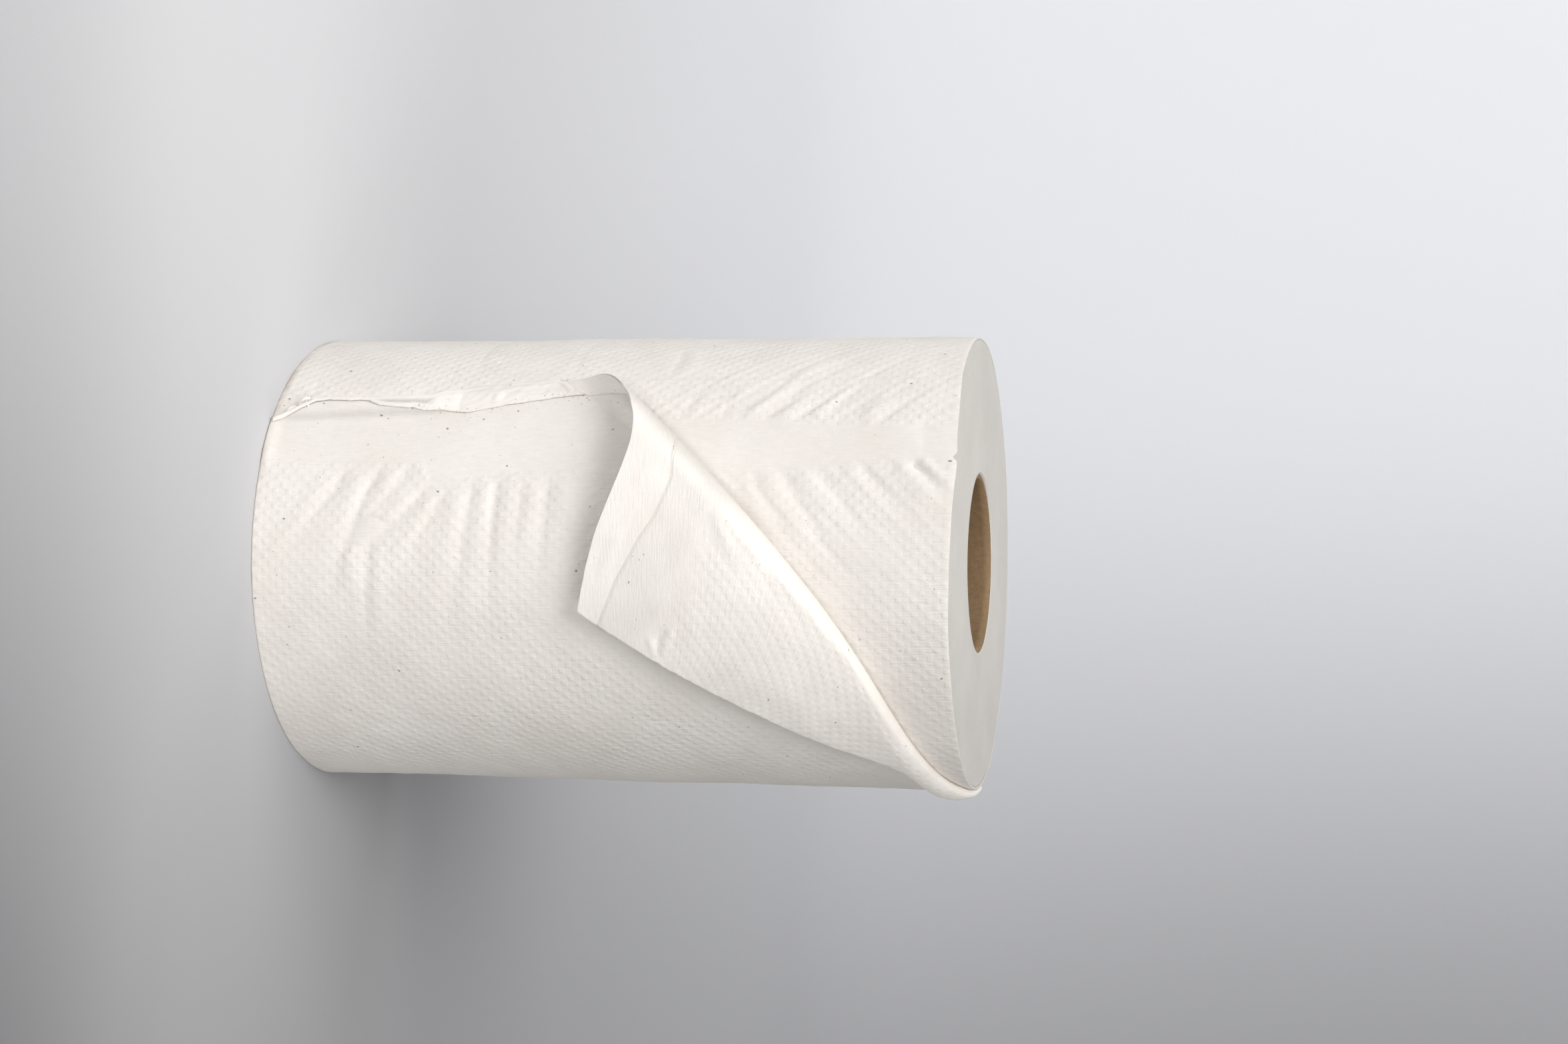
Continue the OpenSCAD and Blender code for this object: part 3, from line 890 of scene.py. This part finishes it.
# %% End face material
def end_material(name):
    """The cut ends of the turns: matt, a little greyer than the sheet, fine rings, painted shade to the
    right.
    """
    material, base, shader = new_material(name)
    place = base.make("ShaderNodeTexCoord", out=3)
    x, y = place.axis(0), place.axis(1)
    r = base.math("SQRT", x * x + y * y)
    grain = place.clouds(900.0, 3.0)
    cloud = place.clouds(38.0, 3.0)
    along = {"W": r * 2600 + cloud * 2, "Scale": 1.0, "Detail": 2.0}
    rings = base.make("ShaderNodeTexNoise", along, noise_dimensions="1D")
    tone = (cloud * 0.6 + rings * 0.12 + grain * 0.28).between(0.3, 0.7)
    # Painted shade: the end face is painted darker towards its right, +X.
    tone = tone - x.between(-0.01, 0.07) * 0.9
    link((tone * 0.5 + 0.5).blend((0.52, 0.50, 0.475, 1), (0.655, 0.635, 0.60, 1)), shader, "Base Color")
    relief = rings * 0.35 + grain * 0.4
    bump = base.make("ShaderNodeBump", {"Height": relief, "Strength": 0.4, "Distance": 0.0003})
    link(bump, shader, "Normal")
    shader.inputs["Roughness"].default_value = 0.95
    shader.inputs["Specular IOR Level"].default_value = 0.15
    return material


cut_ends = end_material("cut_ends")
wound_body.data.materials.append(cut_ends)
print("end face material:", len(cut_ends.node_tree.nodes), "nodes")

# %% [markdown]
# ## The folded corner
#
# The corner of the outer sheet leaves the roll along a curved line, turns over in a curl that is wide at the
# torn tail and tight at the slit edge, and comes back down over the roll. Each line across the fold is an arc
# followed by a straight run, cut off at the flap's outline. The arc length along that line tells where the
# point was on the flat web, so the crepe turns over with the sheet.

# %% Shape of the fold
# The steepest slope at which the flap comes back down.
LAND_MAX = math.radians(17)
# Shares of the fold's length where the flap's edge starts to run out and where it ends.
CURL_UNTIL, FOLD_END = 0.99, 1.045
HOOD_W = 5.8


def reach(o, d, a, b):
    """Distance from o along d to the line through a and b."""
    e = b - a
    to_a = a - o
    return (to_a[..., 0] * e[1] - to_a[..., 1] * e[0]) / (d[..., 0] * e[1] - d[..., 1] * e[0])


def tail_length(u):
    """Length of the sheet from the foot of the fold to the torn tail: a smooth curve through its steps."""
    x = np.minimum(u / TAIL_STEP, len(TAIL_RUNS) - 1)
    i = np.minimum(np.floor(x).astype(int), len(TAIL_RUNS) - 2)
    f = x - i
    last = len(TAIL_RUNS) - 1
    a, b = TAIL_RUNS[np.maximum(i - 1, 0)], TAIL_RUNS[i]
    c, d = TAIL_RUNS[i + 1], TAIL_RUNS[np.minimum(i + 2, last)]
    return b + f / 2 * (c - a + f * (2 * a - 5 * b + 4 * c - d + f * (3 * (b - c) + d - a)))


def turn_angle(u):
    """The bend at which the tight first arc gives way to the wider one."""
    return np.radians(115 + 33 * smooth(0.5, 0.85, u))


def fold_sizes(u):
    """Radii, slope and lengths of the fold at a share of its length."""
    r, turn = curl_radius(u), turn_angle(u)
    late = 5 * smooth(0.5, 0.85, u)
    wide = r * (1 + (CURL_OPEN - 1) * (1 - u) ** 2) + late * (1 - 0.7 * smooth(0.92, 1.04, u))
    width = reach(curve_point(u), -curve_across(u), FLAP_CORNER, SLIT_ON_FLAP)
    # Past the end of the slit, a narrow hood goes on along the rim.
    width = np.where(u > 0.5, (width + HOOD_W + np.sqrt((width - HOOD_W) ** 2 + 6)) / 2, width)
    sin_t, cos_t = np.sin(turn), np.cos(turn)
    top = r * (1 - cos_t) + wide * (1 + cos_t)
    flat = width - r + (r - wide) * sin_t
    # The flap's edge stays a little off the roll, and less so where the flap is narrow.
    edge_lift = 4.2 - 1.3 * smooth(0.45, 0.8, u) - 1.6 * smooth(0.8, 0.92, u)
    land = np.minimum(LAND_MAX, np.arctan2(np.maximum(top - edge_lift, 0), np.maximum(flat, 1)))
    curl_len = r * turn + wide * (math.pi + land - turn)
    end_x = r * sin_t + wide * (-np.sin(land) - sin_t)
    flat_len = np.maximum(0, width - r + end_x) / np.cos(land)
    past = np.clip((u - CURL_UNTIL) / (FOLD_END - CURL_UNTIL), 0, 1)
    slit_len = (curl_len + flat_len) * (1 - past ** 2)
    return r, wide, land, curl_len, np.minimum(slit_len, tail_length(u))


def folded_sheet(u, run):
    """Places (s, z, h) of the folded corner at a run from the foot, their web places and the bend there."""
    o, across = curve_point(u), curve_across(u)
    r, wide, land, curl_len, _ = fold_sizes(u)
    turn = turn_angle(u)
    turn_len = r * turn
    turned = np.minimum(run, turn_len) / r
    bend = turned + np.maximum(0, np.minimum(run, curl_len) - turn_len) / wide
    flat_run = np.maximum(0, run - curl_len)
    x = r * np.sin(turned) + wide * (np.sin(np.maximum(bend, turn)) - np.sin(turn))
    h = r * (1 - np.cos(turned)) + wide * (np.cos(turn) - np.cos(np.maximum(bend, turn)))
    x = x - flat_run * np.cos(land)
    h = h - flat_run * np.sin(land) - 0.25 * np.maximum(0, 1 - run / r) ** 2
    place = o + (x - r)[..., None] * across
    web = o + (run - r)[..., None] * across
    return place, h, web, bend


print("sheet in the fold at its middle:", round(float(fold_sizes(np.array(0.5))[4]), 1), "mm")

# %% [markdown]
# ## The flap's own surface
#
# The flap shows the inside of the sheet, which is paler, with fainter dots pressed the other way. Part of its
# paleness is painted light, strongest near the fold, and the curl's outer side is painted greyer as painted
# shade. The hem's edge makes a thin step across it, and the slit edge is puckered where it was pinched.
# Heights off the flap are added along the normals of its middle, and the sheet is then given its thickness.

# %% Folded corner
FLAP_CREASE = [(-27, 126.5), (-20.3, 126.7), (-16.9, 125.4), (-10.3, 122), (-5.5, 118), (0, 114.4),
               (5.6, 110.7), (11.3, 107.9), (17.9, 104.6)]
FLAP_WRINKLES = [
    ([(16.5, 127.4), (21, 125.4), (25.4, 122.6)], 1.0, 0.4),
    ([(18, 123.6), (22, 122.2), (25.6, 121.4)], 0.8, -0.4),
    ([(20, 119.4), (23, 120.2), (26, 121.2)], 0.8, 0.3),
    ([(-12.5, 139), (-12.3, 136.6), (-11, 134)], 0.9, 0.3),
    ([(-12.4, 138.8), (-8.6, 140.8), (-4.4, 143.1), (2.6, 147.9)], 1.4, 0.25),
    ([(-9, 113), (0, 109), (9, 105)], 2.0, 0.2),
]


def flap_relief(u, place, bend, run):
    """Heights off the flap's visible side, its embossing, its shade, and 10 plus the distance to its crease.
    The shade holds a greyer band, painted shade on the curl and painted light on the flap."""
    s, z = place[..., 0], place[..., 1]
    gap = along_path(s, z, FLAP_CREASE)[0]
    flap = smooth(2.5, 3.0, bend)
    relief = flap * wrinkle_height(s, z, FLAP_WRINKLES)
    relief += flap * (0.5 * noise(s / 24, z / 18, 41) + 0.16 * noise(s / 7, z / 6, 42))
    uneven = 3.0 * noise(s / 7, z / 7, 43)
    inner = smooth(14, 22, gap + uneven)
    emboss = flap * inner * 0.7
    grey = smooth(0.0, 1.0, gap) * (1 - smooth(9, 17, gap + uneven))
    # Painted shade: the curl's outer side is painted greyer, most at the tail end.
    ends = 0.35 + 1.4 * (1 - smooth(0.18, 0.3, u))
    curl = ends * smooth(0.5, 1.2, bend) * (1 - smooth(2.2, 3.0, bend))
    # Painted light: the flap is painted paler, partly as the paler inside of the sheet, most near the fold.
    paler_side_and_painted_light = -1.3 - 0.8 * (1 - smooth(14, 40, run)) * smooth(0.2, 0.45, u)
    shade = smooth(1.7, 3.1, bend) * (0.6 * grey + paler_side_and_painted_light) + curl
    return relief, emboss, shade, np.clip(gap, -4, 4) + 10


u_at = (FOLD_END - 0.002) * np.linspace(0, 1, 310) ** 1.15
U, V = np.meshgrid(u_at, np.linspace(0, 1, 130), indexing="ij")
edge_len = fold_sizes(u_at)[4] + 0.22 * noise(u_at * 160, 0.5, 44) * smooth(0.02, 0.05, u_at)
flap_run = edge_len[:, None] * V ** 1.3
place, lift, web, bend = folded_sheet(U, flap_run)
offset, flap_dots, flap_shade, from_crease = flap_relief(U, place, bend, flap_run)
corner_mid = on_roll(place[..., 0], place[..., 1], lift)
corner_mid = corner_mid - sheet_normals(corner_mid) * offset[..., None]
flap_fields = {"emboss": -flap_dots, "shade": flap_shade, "crease": from_crease}
folded_corner = thick_sheet("folded_corner", corner_mid, web, SHEET_T, **flap_fields)
folded_corner.data.materials.append(paper)
stand_in(folded_corner, "paper_roll")

# %% [markdown]
# ## The torn hem
#
# The tail was torn off and its edge folded back as a narrow strip: wide near the curl, pinched and twisted
# below, ragged at the bottom. It is a sheet between two edges on the web, with a round fold on its left and
# a ragged edge on its right that lies close to the sheet. Its height is counted from the relief below it.

# %% Torn hem
STRIP_T = 0.2
HEM_TOP = 94.2


def hem_shape(b, z):
    """Height and shade of the hem, from the share across it and the height on the roll.

    It has a round fold on the left, a soft crumpled middle and a torn right edge. Below, it is pinched to two
    strands with painted shade in the eye between them, and then to one."""
    fold = 0.5 * np.sqrt(np.clip(b / 0.10, 0, 1)) - 0.15
    wide = smooth(47, 55, z)
    puff = 0.3 + 0.45 * noise(b * 2.2, z / 6, 53) + 0.28 * noise(b * 6, z / 2.2, 58)
    torn = 0.14 * noise(z / 3, 0.5, 54) * b ** 3 - 0.04 * smooth(0.75, 1.0, b)
    left_strand = np.exp(-((b - 0.2) / 0.16) ** 2)
    right_strand = np.exp(-((b - 0.82) / 0.14) ** 2)
    eye = smooth(30, 36, z) * (1 - smooth(46, 51, z))
    pinched = 0.3 * np.sin(np.pi * b) * (1 - eye) + eye * (0.5 * left_strand + 0.4 * right_strand - 0.2)
    height = fold + wide * (puff * np.sin(np.pi * b) + torn) + (1 - wide) * pinched
    # The shade is painted shade in the eye between the strands; elsewhere -0.4 makes the hem a little paler.
    return height, -0.4 + 3.0 * eye * np.exp(-((b - 0.52) / 0.17) ** 2)


hem_z = np.linspace(1.0, HEM_TOP, 380)
ragged = 0.16 * noise(hem_z / 0.9, 0.5, 52) + 0.2 * noise(hem_z / 2.6, 0.5, 55)
# Above the last row of the table, the foot of the curl cuts the strip off on a slant.
hem_left = np.maximum(tail_at(hem_z), np.interp(hem_z, FOOT[:, 1], FOOT[:, 0], left=-99))
hem_left += 0.15 * noise(hem_z / 4, 0.5, 51) - 0.2
hem_right = np.interp(hem_z, np.append(HEM[:, 0], HEM_TOP), np.append(HEM[:, 2], -52.6)) + ragged
hem_right = np.maximum(hem_right, hem_left + 0.3)
hem_share = np.linspace(0, 1, 36)
hem_s = hem_left[:, None] + (hem_right - hem_left)[:, None] * hem_share
hem_b, hem_zz = np.broadcast_to(hem_share, hem_s.shape), np.broadcast_to(hem_z[:, None], hem_s.shape)
hem_height, hem_shade = hem_shape(hem_b, hem_zz)
hem_mid = on_roll(hem_s, hem_zz, sheet_relief(hem_s, hem_zz)[0] + hem_height)
hem_web = np.stack([2 * hem_left[:, None] - hem_s, hem_zz], -1)
hem_fields = {"shade": hem_shade, "soil": torn_edge_soil(hem_s, hem_zz)}
torn_hem = thick_sheet("torn_hem", hem_mid, hem_web, STRIP_T, **hem_fields)
torn_hem.data.materials.append(paper)
stand_in(torn_hem, "paper_roll")

# %% [markdown]
# ## Ragged bits
#
# At the bottom the tail ends in a few torn scraps. Each is a short strip between two places on the web, a
# little curled and twisted, with its own seed. They are too few and too different for scattered instances.

# %% Ragged bits
# Start, end, width and height of each.
BITS = [
    ((-52.0, 10.4), (-49.0, 8.6), 0.7, 1.5),
    ((-50.4, 10.4), (-47.2, 7.0), 1.1, 2.0),
    ((-49.0, 9.0), (-46.2, 11.4), 0.7, 2.2),
    ((-47.6, 7.6), (-43.6, 3.4), 0.7, 1.7),
    ((-45.2, 5.0), (-42.0, 1.6), 0.6, 1.3),
]


def bit_grid(start, end, width, height, seed):
    """A short curled scrap of the tail."""
    t, b = np.meshgrid(np.linspace(0, 1, 26), np.linspace(-0.5, 0.5, 9), indexing="ij")
    start, end = np.array(start), np.array(end)
    way = (end - start) / np.linalg.norm(end - start)
    side = np.array([-way[1], way[0]])
    wide = width * np.sin(np.pi * np.clip(t * 0.9 + 0.06, 0, 1)) ** 0.7
    spot = start + (end - start) * t[..., None] + side * (wide * b + 0.3 * noise(t * 4, 0.5, seed))[..., None]
    h = height * (0.55 + 0.45 * np.sin(np.pi * t)) + 0.9 * b * np.sin(3 * t + seed)
    h += 0.2 * noise(t * 5, b * 3, seed + 1)
    return on_roll(spot[..., 0], spot[..., 1], h), spot


for number, (start, end, width, height) in enumerate(BITS):
    middle, spot = bit_grid(start, end, width, height, 71 + 3 * number)
    bit = thick_sheet(f"torn_bit_{number}", middle, spot, STRIP_T, shade=np.full(spot.shape[:2], -0.6))
    bit.data.materials.append(paper)
    stand_in(bit, "paper_roll")

# %% [markdown]
# ## The hem inside the curl
#
# Inside the curl the hem goes on along the tail edge, ever narrower. It is the part of the folded sheet that
# lies within the hem's width of that edge, moved a little off the sheet. So it bends with the curl, and the
# fold's own function makes it.

# %% Hem inside the curl
iu = np.linspace(0.002, 0.135, 110)
inside_len = fold_sizes(iu)[4]
edge_u = np.linspace(0, 0.16, 80)
edge_run = fold_sizes(edge_u)[4] - curl_radius(edge_u)
tail_edge = curve_point(edge_u) + edge_run[:, None] * curve_across(edge_u)
runs = np.linspace(0, 1, 60)[None, :] * inside_len[:, None]
run_web = folded_sheet(np.broadcast_to(iu[:, None], runs.shape), runs)[2]
from_edge = np.abs(along_path(run_web[..., 0], run_web[..., 1], tail_edge)[0])
hem_w = np.interp(iu, [0, 0.03, 0.06, 0.10, 0.135], [7.6, 6.6, 5.0, 3.2, 3.0])
hem_start = np.array([run[gap < w].min() for run, gap, w in zip(runs, from_edge, hem_w)])
IU, IV = np.meshgrid(iu, np.linspace(0, 1, 16), indexing="ij")
inside_run = hem_start[:, None] + (inside_len - 0.15 - hem_start)[:, None] * IV
inside_place, inside_h, inside_web, _ = folded_sheet(IU, inside_run)
inside_mid = on_roll(inside_place[..., 0], inside_place[..., 1], inside_h)
off_sheet = 0.26 + 0.10 * IV + 0.08 * noise(IU * 120, IV * 3, 57)
inside_mid += sheet_normals(inside_mid) * off_sheet[..., None]
inside_fields = {"shade": np.full(IU.shape, -0.2), "soil": np.exp(-(IV / 0.15) ** 2)}
inner_hem = thick_sheet("inner_hem", inside_mid, inside_web, STRIP_T, **inside_fields)
inner_hem.data.materials.append(paper)
stand_in(inner_hem, "paper_roll")

# %% [markdown]
# ## Loose threads
#
# A few white threads hang from the torn edge. Each is a row of points, and a small Geometry Nodes tree turns
# the rows into thin closed tubes, so a thread is changed by moving a point.

# %% Loose threads
THREAD_R = 0.15
THREADS = [
    [(-52.4, 90.8, 1.7), (-53.6, 90.5, 2.1), (-55.3, 89.2, 2.2), (-56.8, 87.5, 1.8), (-57.9, 85.6, 1.2)],
    [(-53.8, 10.9, 0.8), (-52.6, 10.2, 1.2), (-51.2, 9.9, 1.6), (-50.0, 10.2, 2.0)],
    [(-47.2, 11.4, 2.2), (-47.8, 9.8, 2.4), (-46.9, 8.4, 2.0)],
    [(-46.0, 7.4, 1.8), (-44.9, 5.2, 1.7), (-43.5, 3.6, 1.3)],
]


def thread_tree():
    """Turns rows of points into thin tubes."""
    tree = bpy.data.node_groups.new("threads", "GeometryNodeTree")
    wires = group_inputs(tree, {"Thread radius": ("NodeSocketFloat", 0.0001)})
    base = Wire(tree)
    curve = base.make("GeometryNodeMeshToCurve", {"Mesh": wires["Geometry"]})
    curve = base.make("GeometryNodeCurveSplineType", {"Curve": curve}, spline_type="CATMULL_ROM")
    ring = base.make("GeometryNodeCurvePrimitiveCircle", {"Resolution": 6, "Radius": wires["Thread radius"]})
    tube = base.make("GeometryNodeCurveToMesh", {"Curve": curve, "Profile Curve": ring, "Fill Caps": True})
    finish_tree(tube, paper)
    return tree


thread_rows = [on_roll(*np.array(row).T) * MM for row in THREADS]
starts = np.cumsum([0] + [len(row) for row in thread_rows])
thread_edges = [(i, i + 1) for a, b in zip(starts[:-1], starts[1:]) for i in range(a, b - 1)]
thread_mesh = bpy.data.meshes.new("loose_threads")
thread_mesh.from_pydata(np.concatenate(thread_rows).tolist(), thread_edges, [])
loose_threads = bpy.data.objects.new("loose_threads", thread_mesh)
bpy.context.collection.objects.link(loose_threads)
apply_tree(loose_threads, thread_tree(), **{"Thread radius": THREAD_R * MM})
stand_in(loose_threads, "paper_roll")

# %% [markdown]
# ## The core
#
# The core is a spiral-wound tube of brown board. Its top rim is cut by the saw that cuts the log of paper, so
# it is slightly frayed, and a piece is torn out of it. One closed ring grid makes both walls and both rims.

# %% Core tube
CORE_COLS = 240
# How far the board's spiral seam climbs in one turn.
SEAM_CLIMB = 95
NOTCH_AT, NOTCH_W, NOTCH_DEEP = math.radians(84), 6.0, 3.0


def rim_drop(angle):
    """How far the core's top rim lies below its full height."""
    across = (np.mod(angle - NOTCH_AT + math.pi, 2 * math.pi) - math.pi) * CORE_R
    notch = NOTCH_DEEP * np.clip(1 - np.abs(across - 0.6) / (NOTCH_W / 2), 0, 1)
    return notch + 0.12 * (1 + noise(across / 1.6, 0.5, 61)) * 0.5


wall = CORE_OUT - CORE_R
inner = [(CORE_R, t) for t in np.linspace(0, 1, 90)]
rim_round = [(CORE_R + wall * k, 1.0) for k in (0.25, 0.5, 0.75)]
outer = [(CORE_OUT - 0.02, t) for t in (1.0, 0.5, 0.0)]
cr, ct = (np.array(v) for v in zip(*(inner + rim_round + outer)))
core_angle = np.linspace(0, 2 * math.pi, CORE_COLS, endpoint=False)
CA, CT = np.meshgrid(core_angle, ct)
# The tube sits a little askew: its rim is level with the paper at the back and lower at the front.
top = CORE_H + 0.42 * (1 - np.cos(CA)) + 0.12 * np.sin(CA) - rim_drop(CA)
core_z = CT * top
seam = np.mod(core_z / SEAM_CLIMB + CA / (2 * math.pi), 1)
step = 0.12 * np.exp(-((seam - 0.5) / 0.006) ** 2) * (cr[:, None] <= CORE_R)
core_r = cr[:, None] + step
core_points = np.stack([core_r * np.sin(CA), -core_r * np.cos(CA), core_z], -1)
quads = ring_grid(*CA.shape)[:, ::-1]
core_board = mesh_object("core_board", core_points.reshape(-1, 3), quads, np.zeros((len(quads) * 4, 2)))
stand_in(core_board, "core_tube")

# %% [markdown]
# ## The board
#
# Core board is pressed from brown waste paper: short fibres and soft patches, darker and paler. Two noises in
# object coordinates are enough, since only the top of the bore is ever seen close.

# %% Board material
def board_material(name):
    """Brown kraft board with fine fibres and soft patches."""
    material, base, shader = new_material(name)
    place = base.make("ShaderNodeTexCoord", out=3)
    fibre_at = base.make("ShaderNodeMapping", {"Vector": place, "Scale": (1, 1, 0.8)})
    fibre = fibre_at.clouds(900.0, 4.0, Distortion=0.8)
    cloud = place.clouds(70.0, 3.0)
    tone = (fibre * 0.6 + cloud * 0.4).between(0.3, 0.7)
    link(tone.blend((0.23, 0.148, 0.076, 1), (0.30, 0.20, 0.11, 1)), shader, "Base Color")
    bump = base.make("ShaderNodeBump", {"Height": fibre, "Strength": 0.3, "Distance": 0.0003})
    link(bump, shader, "Normal")
    shader.inputs["Roughness"].default_value = 0.85
    shader.inputs["Specular IOR Level"].default_value = 0.25
    return material


board = board_material("kraft_board")
core_board.data.materials.append(board)
print("board material:", len(board.node_tree.nodes), "nodes")

# %% [markdown]
# ## Floor and backdrop
#
# The roll stands on a pale sweep of paper that rises behind it without an edge. Its darkening to the right
# is painted shade in its colour: one pair of greys near the camera, one round the roll and one on the rising
# part, each mixed from left to right and then from front to back.

# %% Sweep
SWEEP_NEAR, SWEEP_FLAT, SWEEP_RISE, SWEEP_WIDE = -2.2, 0.7, 0.6, 2.5


def sweep_points():
    """The sweep's side view: flat, a quarter circle, and upright."""
    bend = np.linspace(0, math.pi / 2, 24)
    y = np.concatenate([[SWEEP_NEAR], SWEEP_FLAT + SWEEP_RISE * np.sin(bend), [SWEEP_FLAT + SWEEP_RISE]])
    z = np.concatenate([[0], SWEEP_RISE * (1 - np.cos(bend)), [3.0]])
    return y, z


sy, sz = sweep_points()
sx = np.linspace(-SWEEP_WIDE, SWEEP_WIDE, 9)
X, Y = np.meshgrid(sx, sy, indexing="ij")
sweep_grid = np.stack([X, Y, np.broadcast_to(sz, X.shape)], -1) / MM
sweep_quads = open_grid(*X.shape)
sweep = mesh_object("sweep", sweep_grid.reshape(-1, 3), sweep_quads, np.zeros((sweep_quads.size, 2)))
sweep_paint, sweep_wire, sweep_shader = new_material("pale_sweep")
at = sweep_wire.make("ShaderNodeTexCoord", out=3)
across, away = at.axis(0), at.axis(1)
# Painted shade: each pair of greys darkens to the right, and the pair near the camera is darker.
near = across.between(-0.22, 0.22).blend((0.56, 0.565, 0.58, 1), (0.15, 0.152, 0.158, 1))
floor = across.between(-0.22, 0.22).blend((0.70, 0.703, 0.72, 1), (0.35, 0.352, 0.362, 1))
floor = away.between(-0.24, -0.10).blend(near, floor)
rise = across.between(-0.15, 0.45).blend((0.90, 0.905, 0.935, 1), (0.49, 0.493, 0.512, 1))
link(away.between(0.05, 0.95).blend(floor, rise), sweep_shader, "Base Color")
sweep_shader.inputs["Roughness"].default_value = 0.9
sweep.data.materials.append(sweep_paint)
print("sweep:", len(sweep_quads), "faces")

# %% [markdown]
# ## Light
#
# The photograph has soft light from high at the front left. Two broad lamps there do most of the work, one on
# each side fills the shadows, and one lights the backdrop. A small low one stands for the light that a white
# table throws back, with its fan narrowed to keep most of it off the floor. The world adds a little cool
# light.

# %% Lamps and world
WARM = (1.0, 0.99, 0.975)


def soft_lamp(name, place, size, power, tint, target=(0, 0, ROLL_H * MM / 2), spread=180):
    """A square soft lamp that looks at a target, at first the middle of the roll; its fan is in degrees."""
    data = bpy.data.lights.new(name, "AREA")
    data.size = size
    data.energy = power
    data.color = tint
    data.spread = math.radians(spread)
    lamp = bpy.data.objects.new(name, data)
    lamp.location = place
    lamp.rotation_euler = (Vector(target) - Vector(place)).to_track_quat("-Z", "Y").to_euler()
    bpy.context.collection.objects.link(lamp)


soft_lamp("high_key", (-0.40, -0.69, 1.49), 0.9, 10.8, WARM)
soft_lamp("front_key", (-0.25, -1.02, 1.31), 0.8, 9.2, WARM)
soft_lamp("left_fill", (-1.30, -0.47, 0.90), 0.8, 6.2, (1.0, 0.995, 0.99))
soft_lamp("right_fill", (1.23, -0.86, 0.65), 1.0, 8.6, (1.0, 0.99, 0.98))
soft_lamp("low_front", (-0.10, -0.42, 0.03), 0.12, 0.112, WARM, target=(0, 0, 0.075), spread=95)
soft_lamp("backdrop", (-0.75, 0.30, 0.95), 0.5, 4.0, (0.97, 0.985, 1.0), target=(-0.3, 1.3, 0.55))
world = bpy.data.worlds.new("studio")
bpy.context.scene.world = world
world.use_nodes = True
sky = world.node_tree.nodes["Background"].inputs
sky["Color"].default_value = (0.90, 0.94, 1.0, 1)
sky["Strength"].default_value = 0.04

# %% [markdown] ## The end
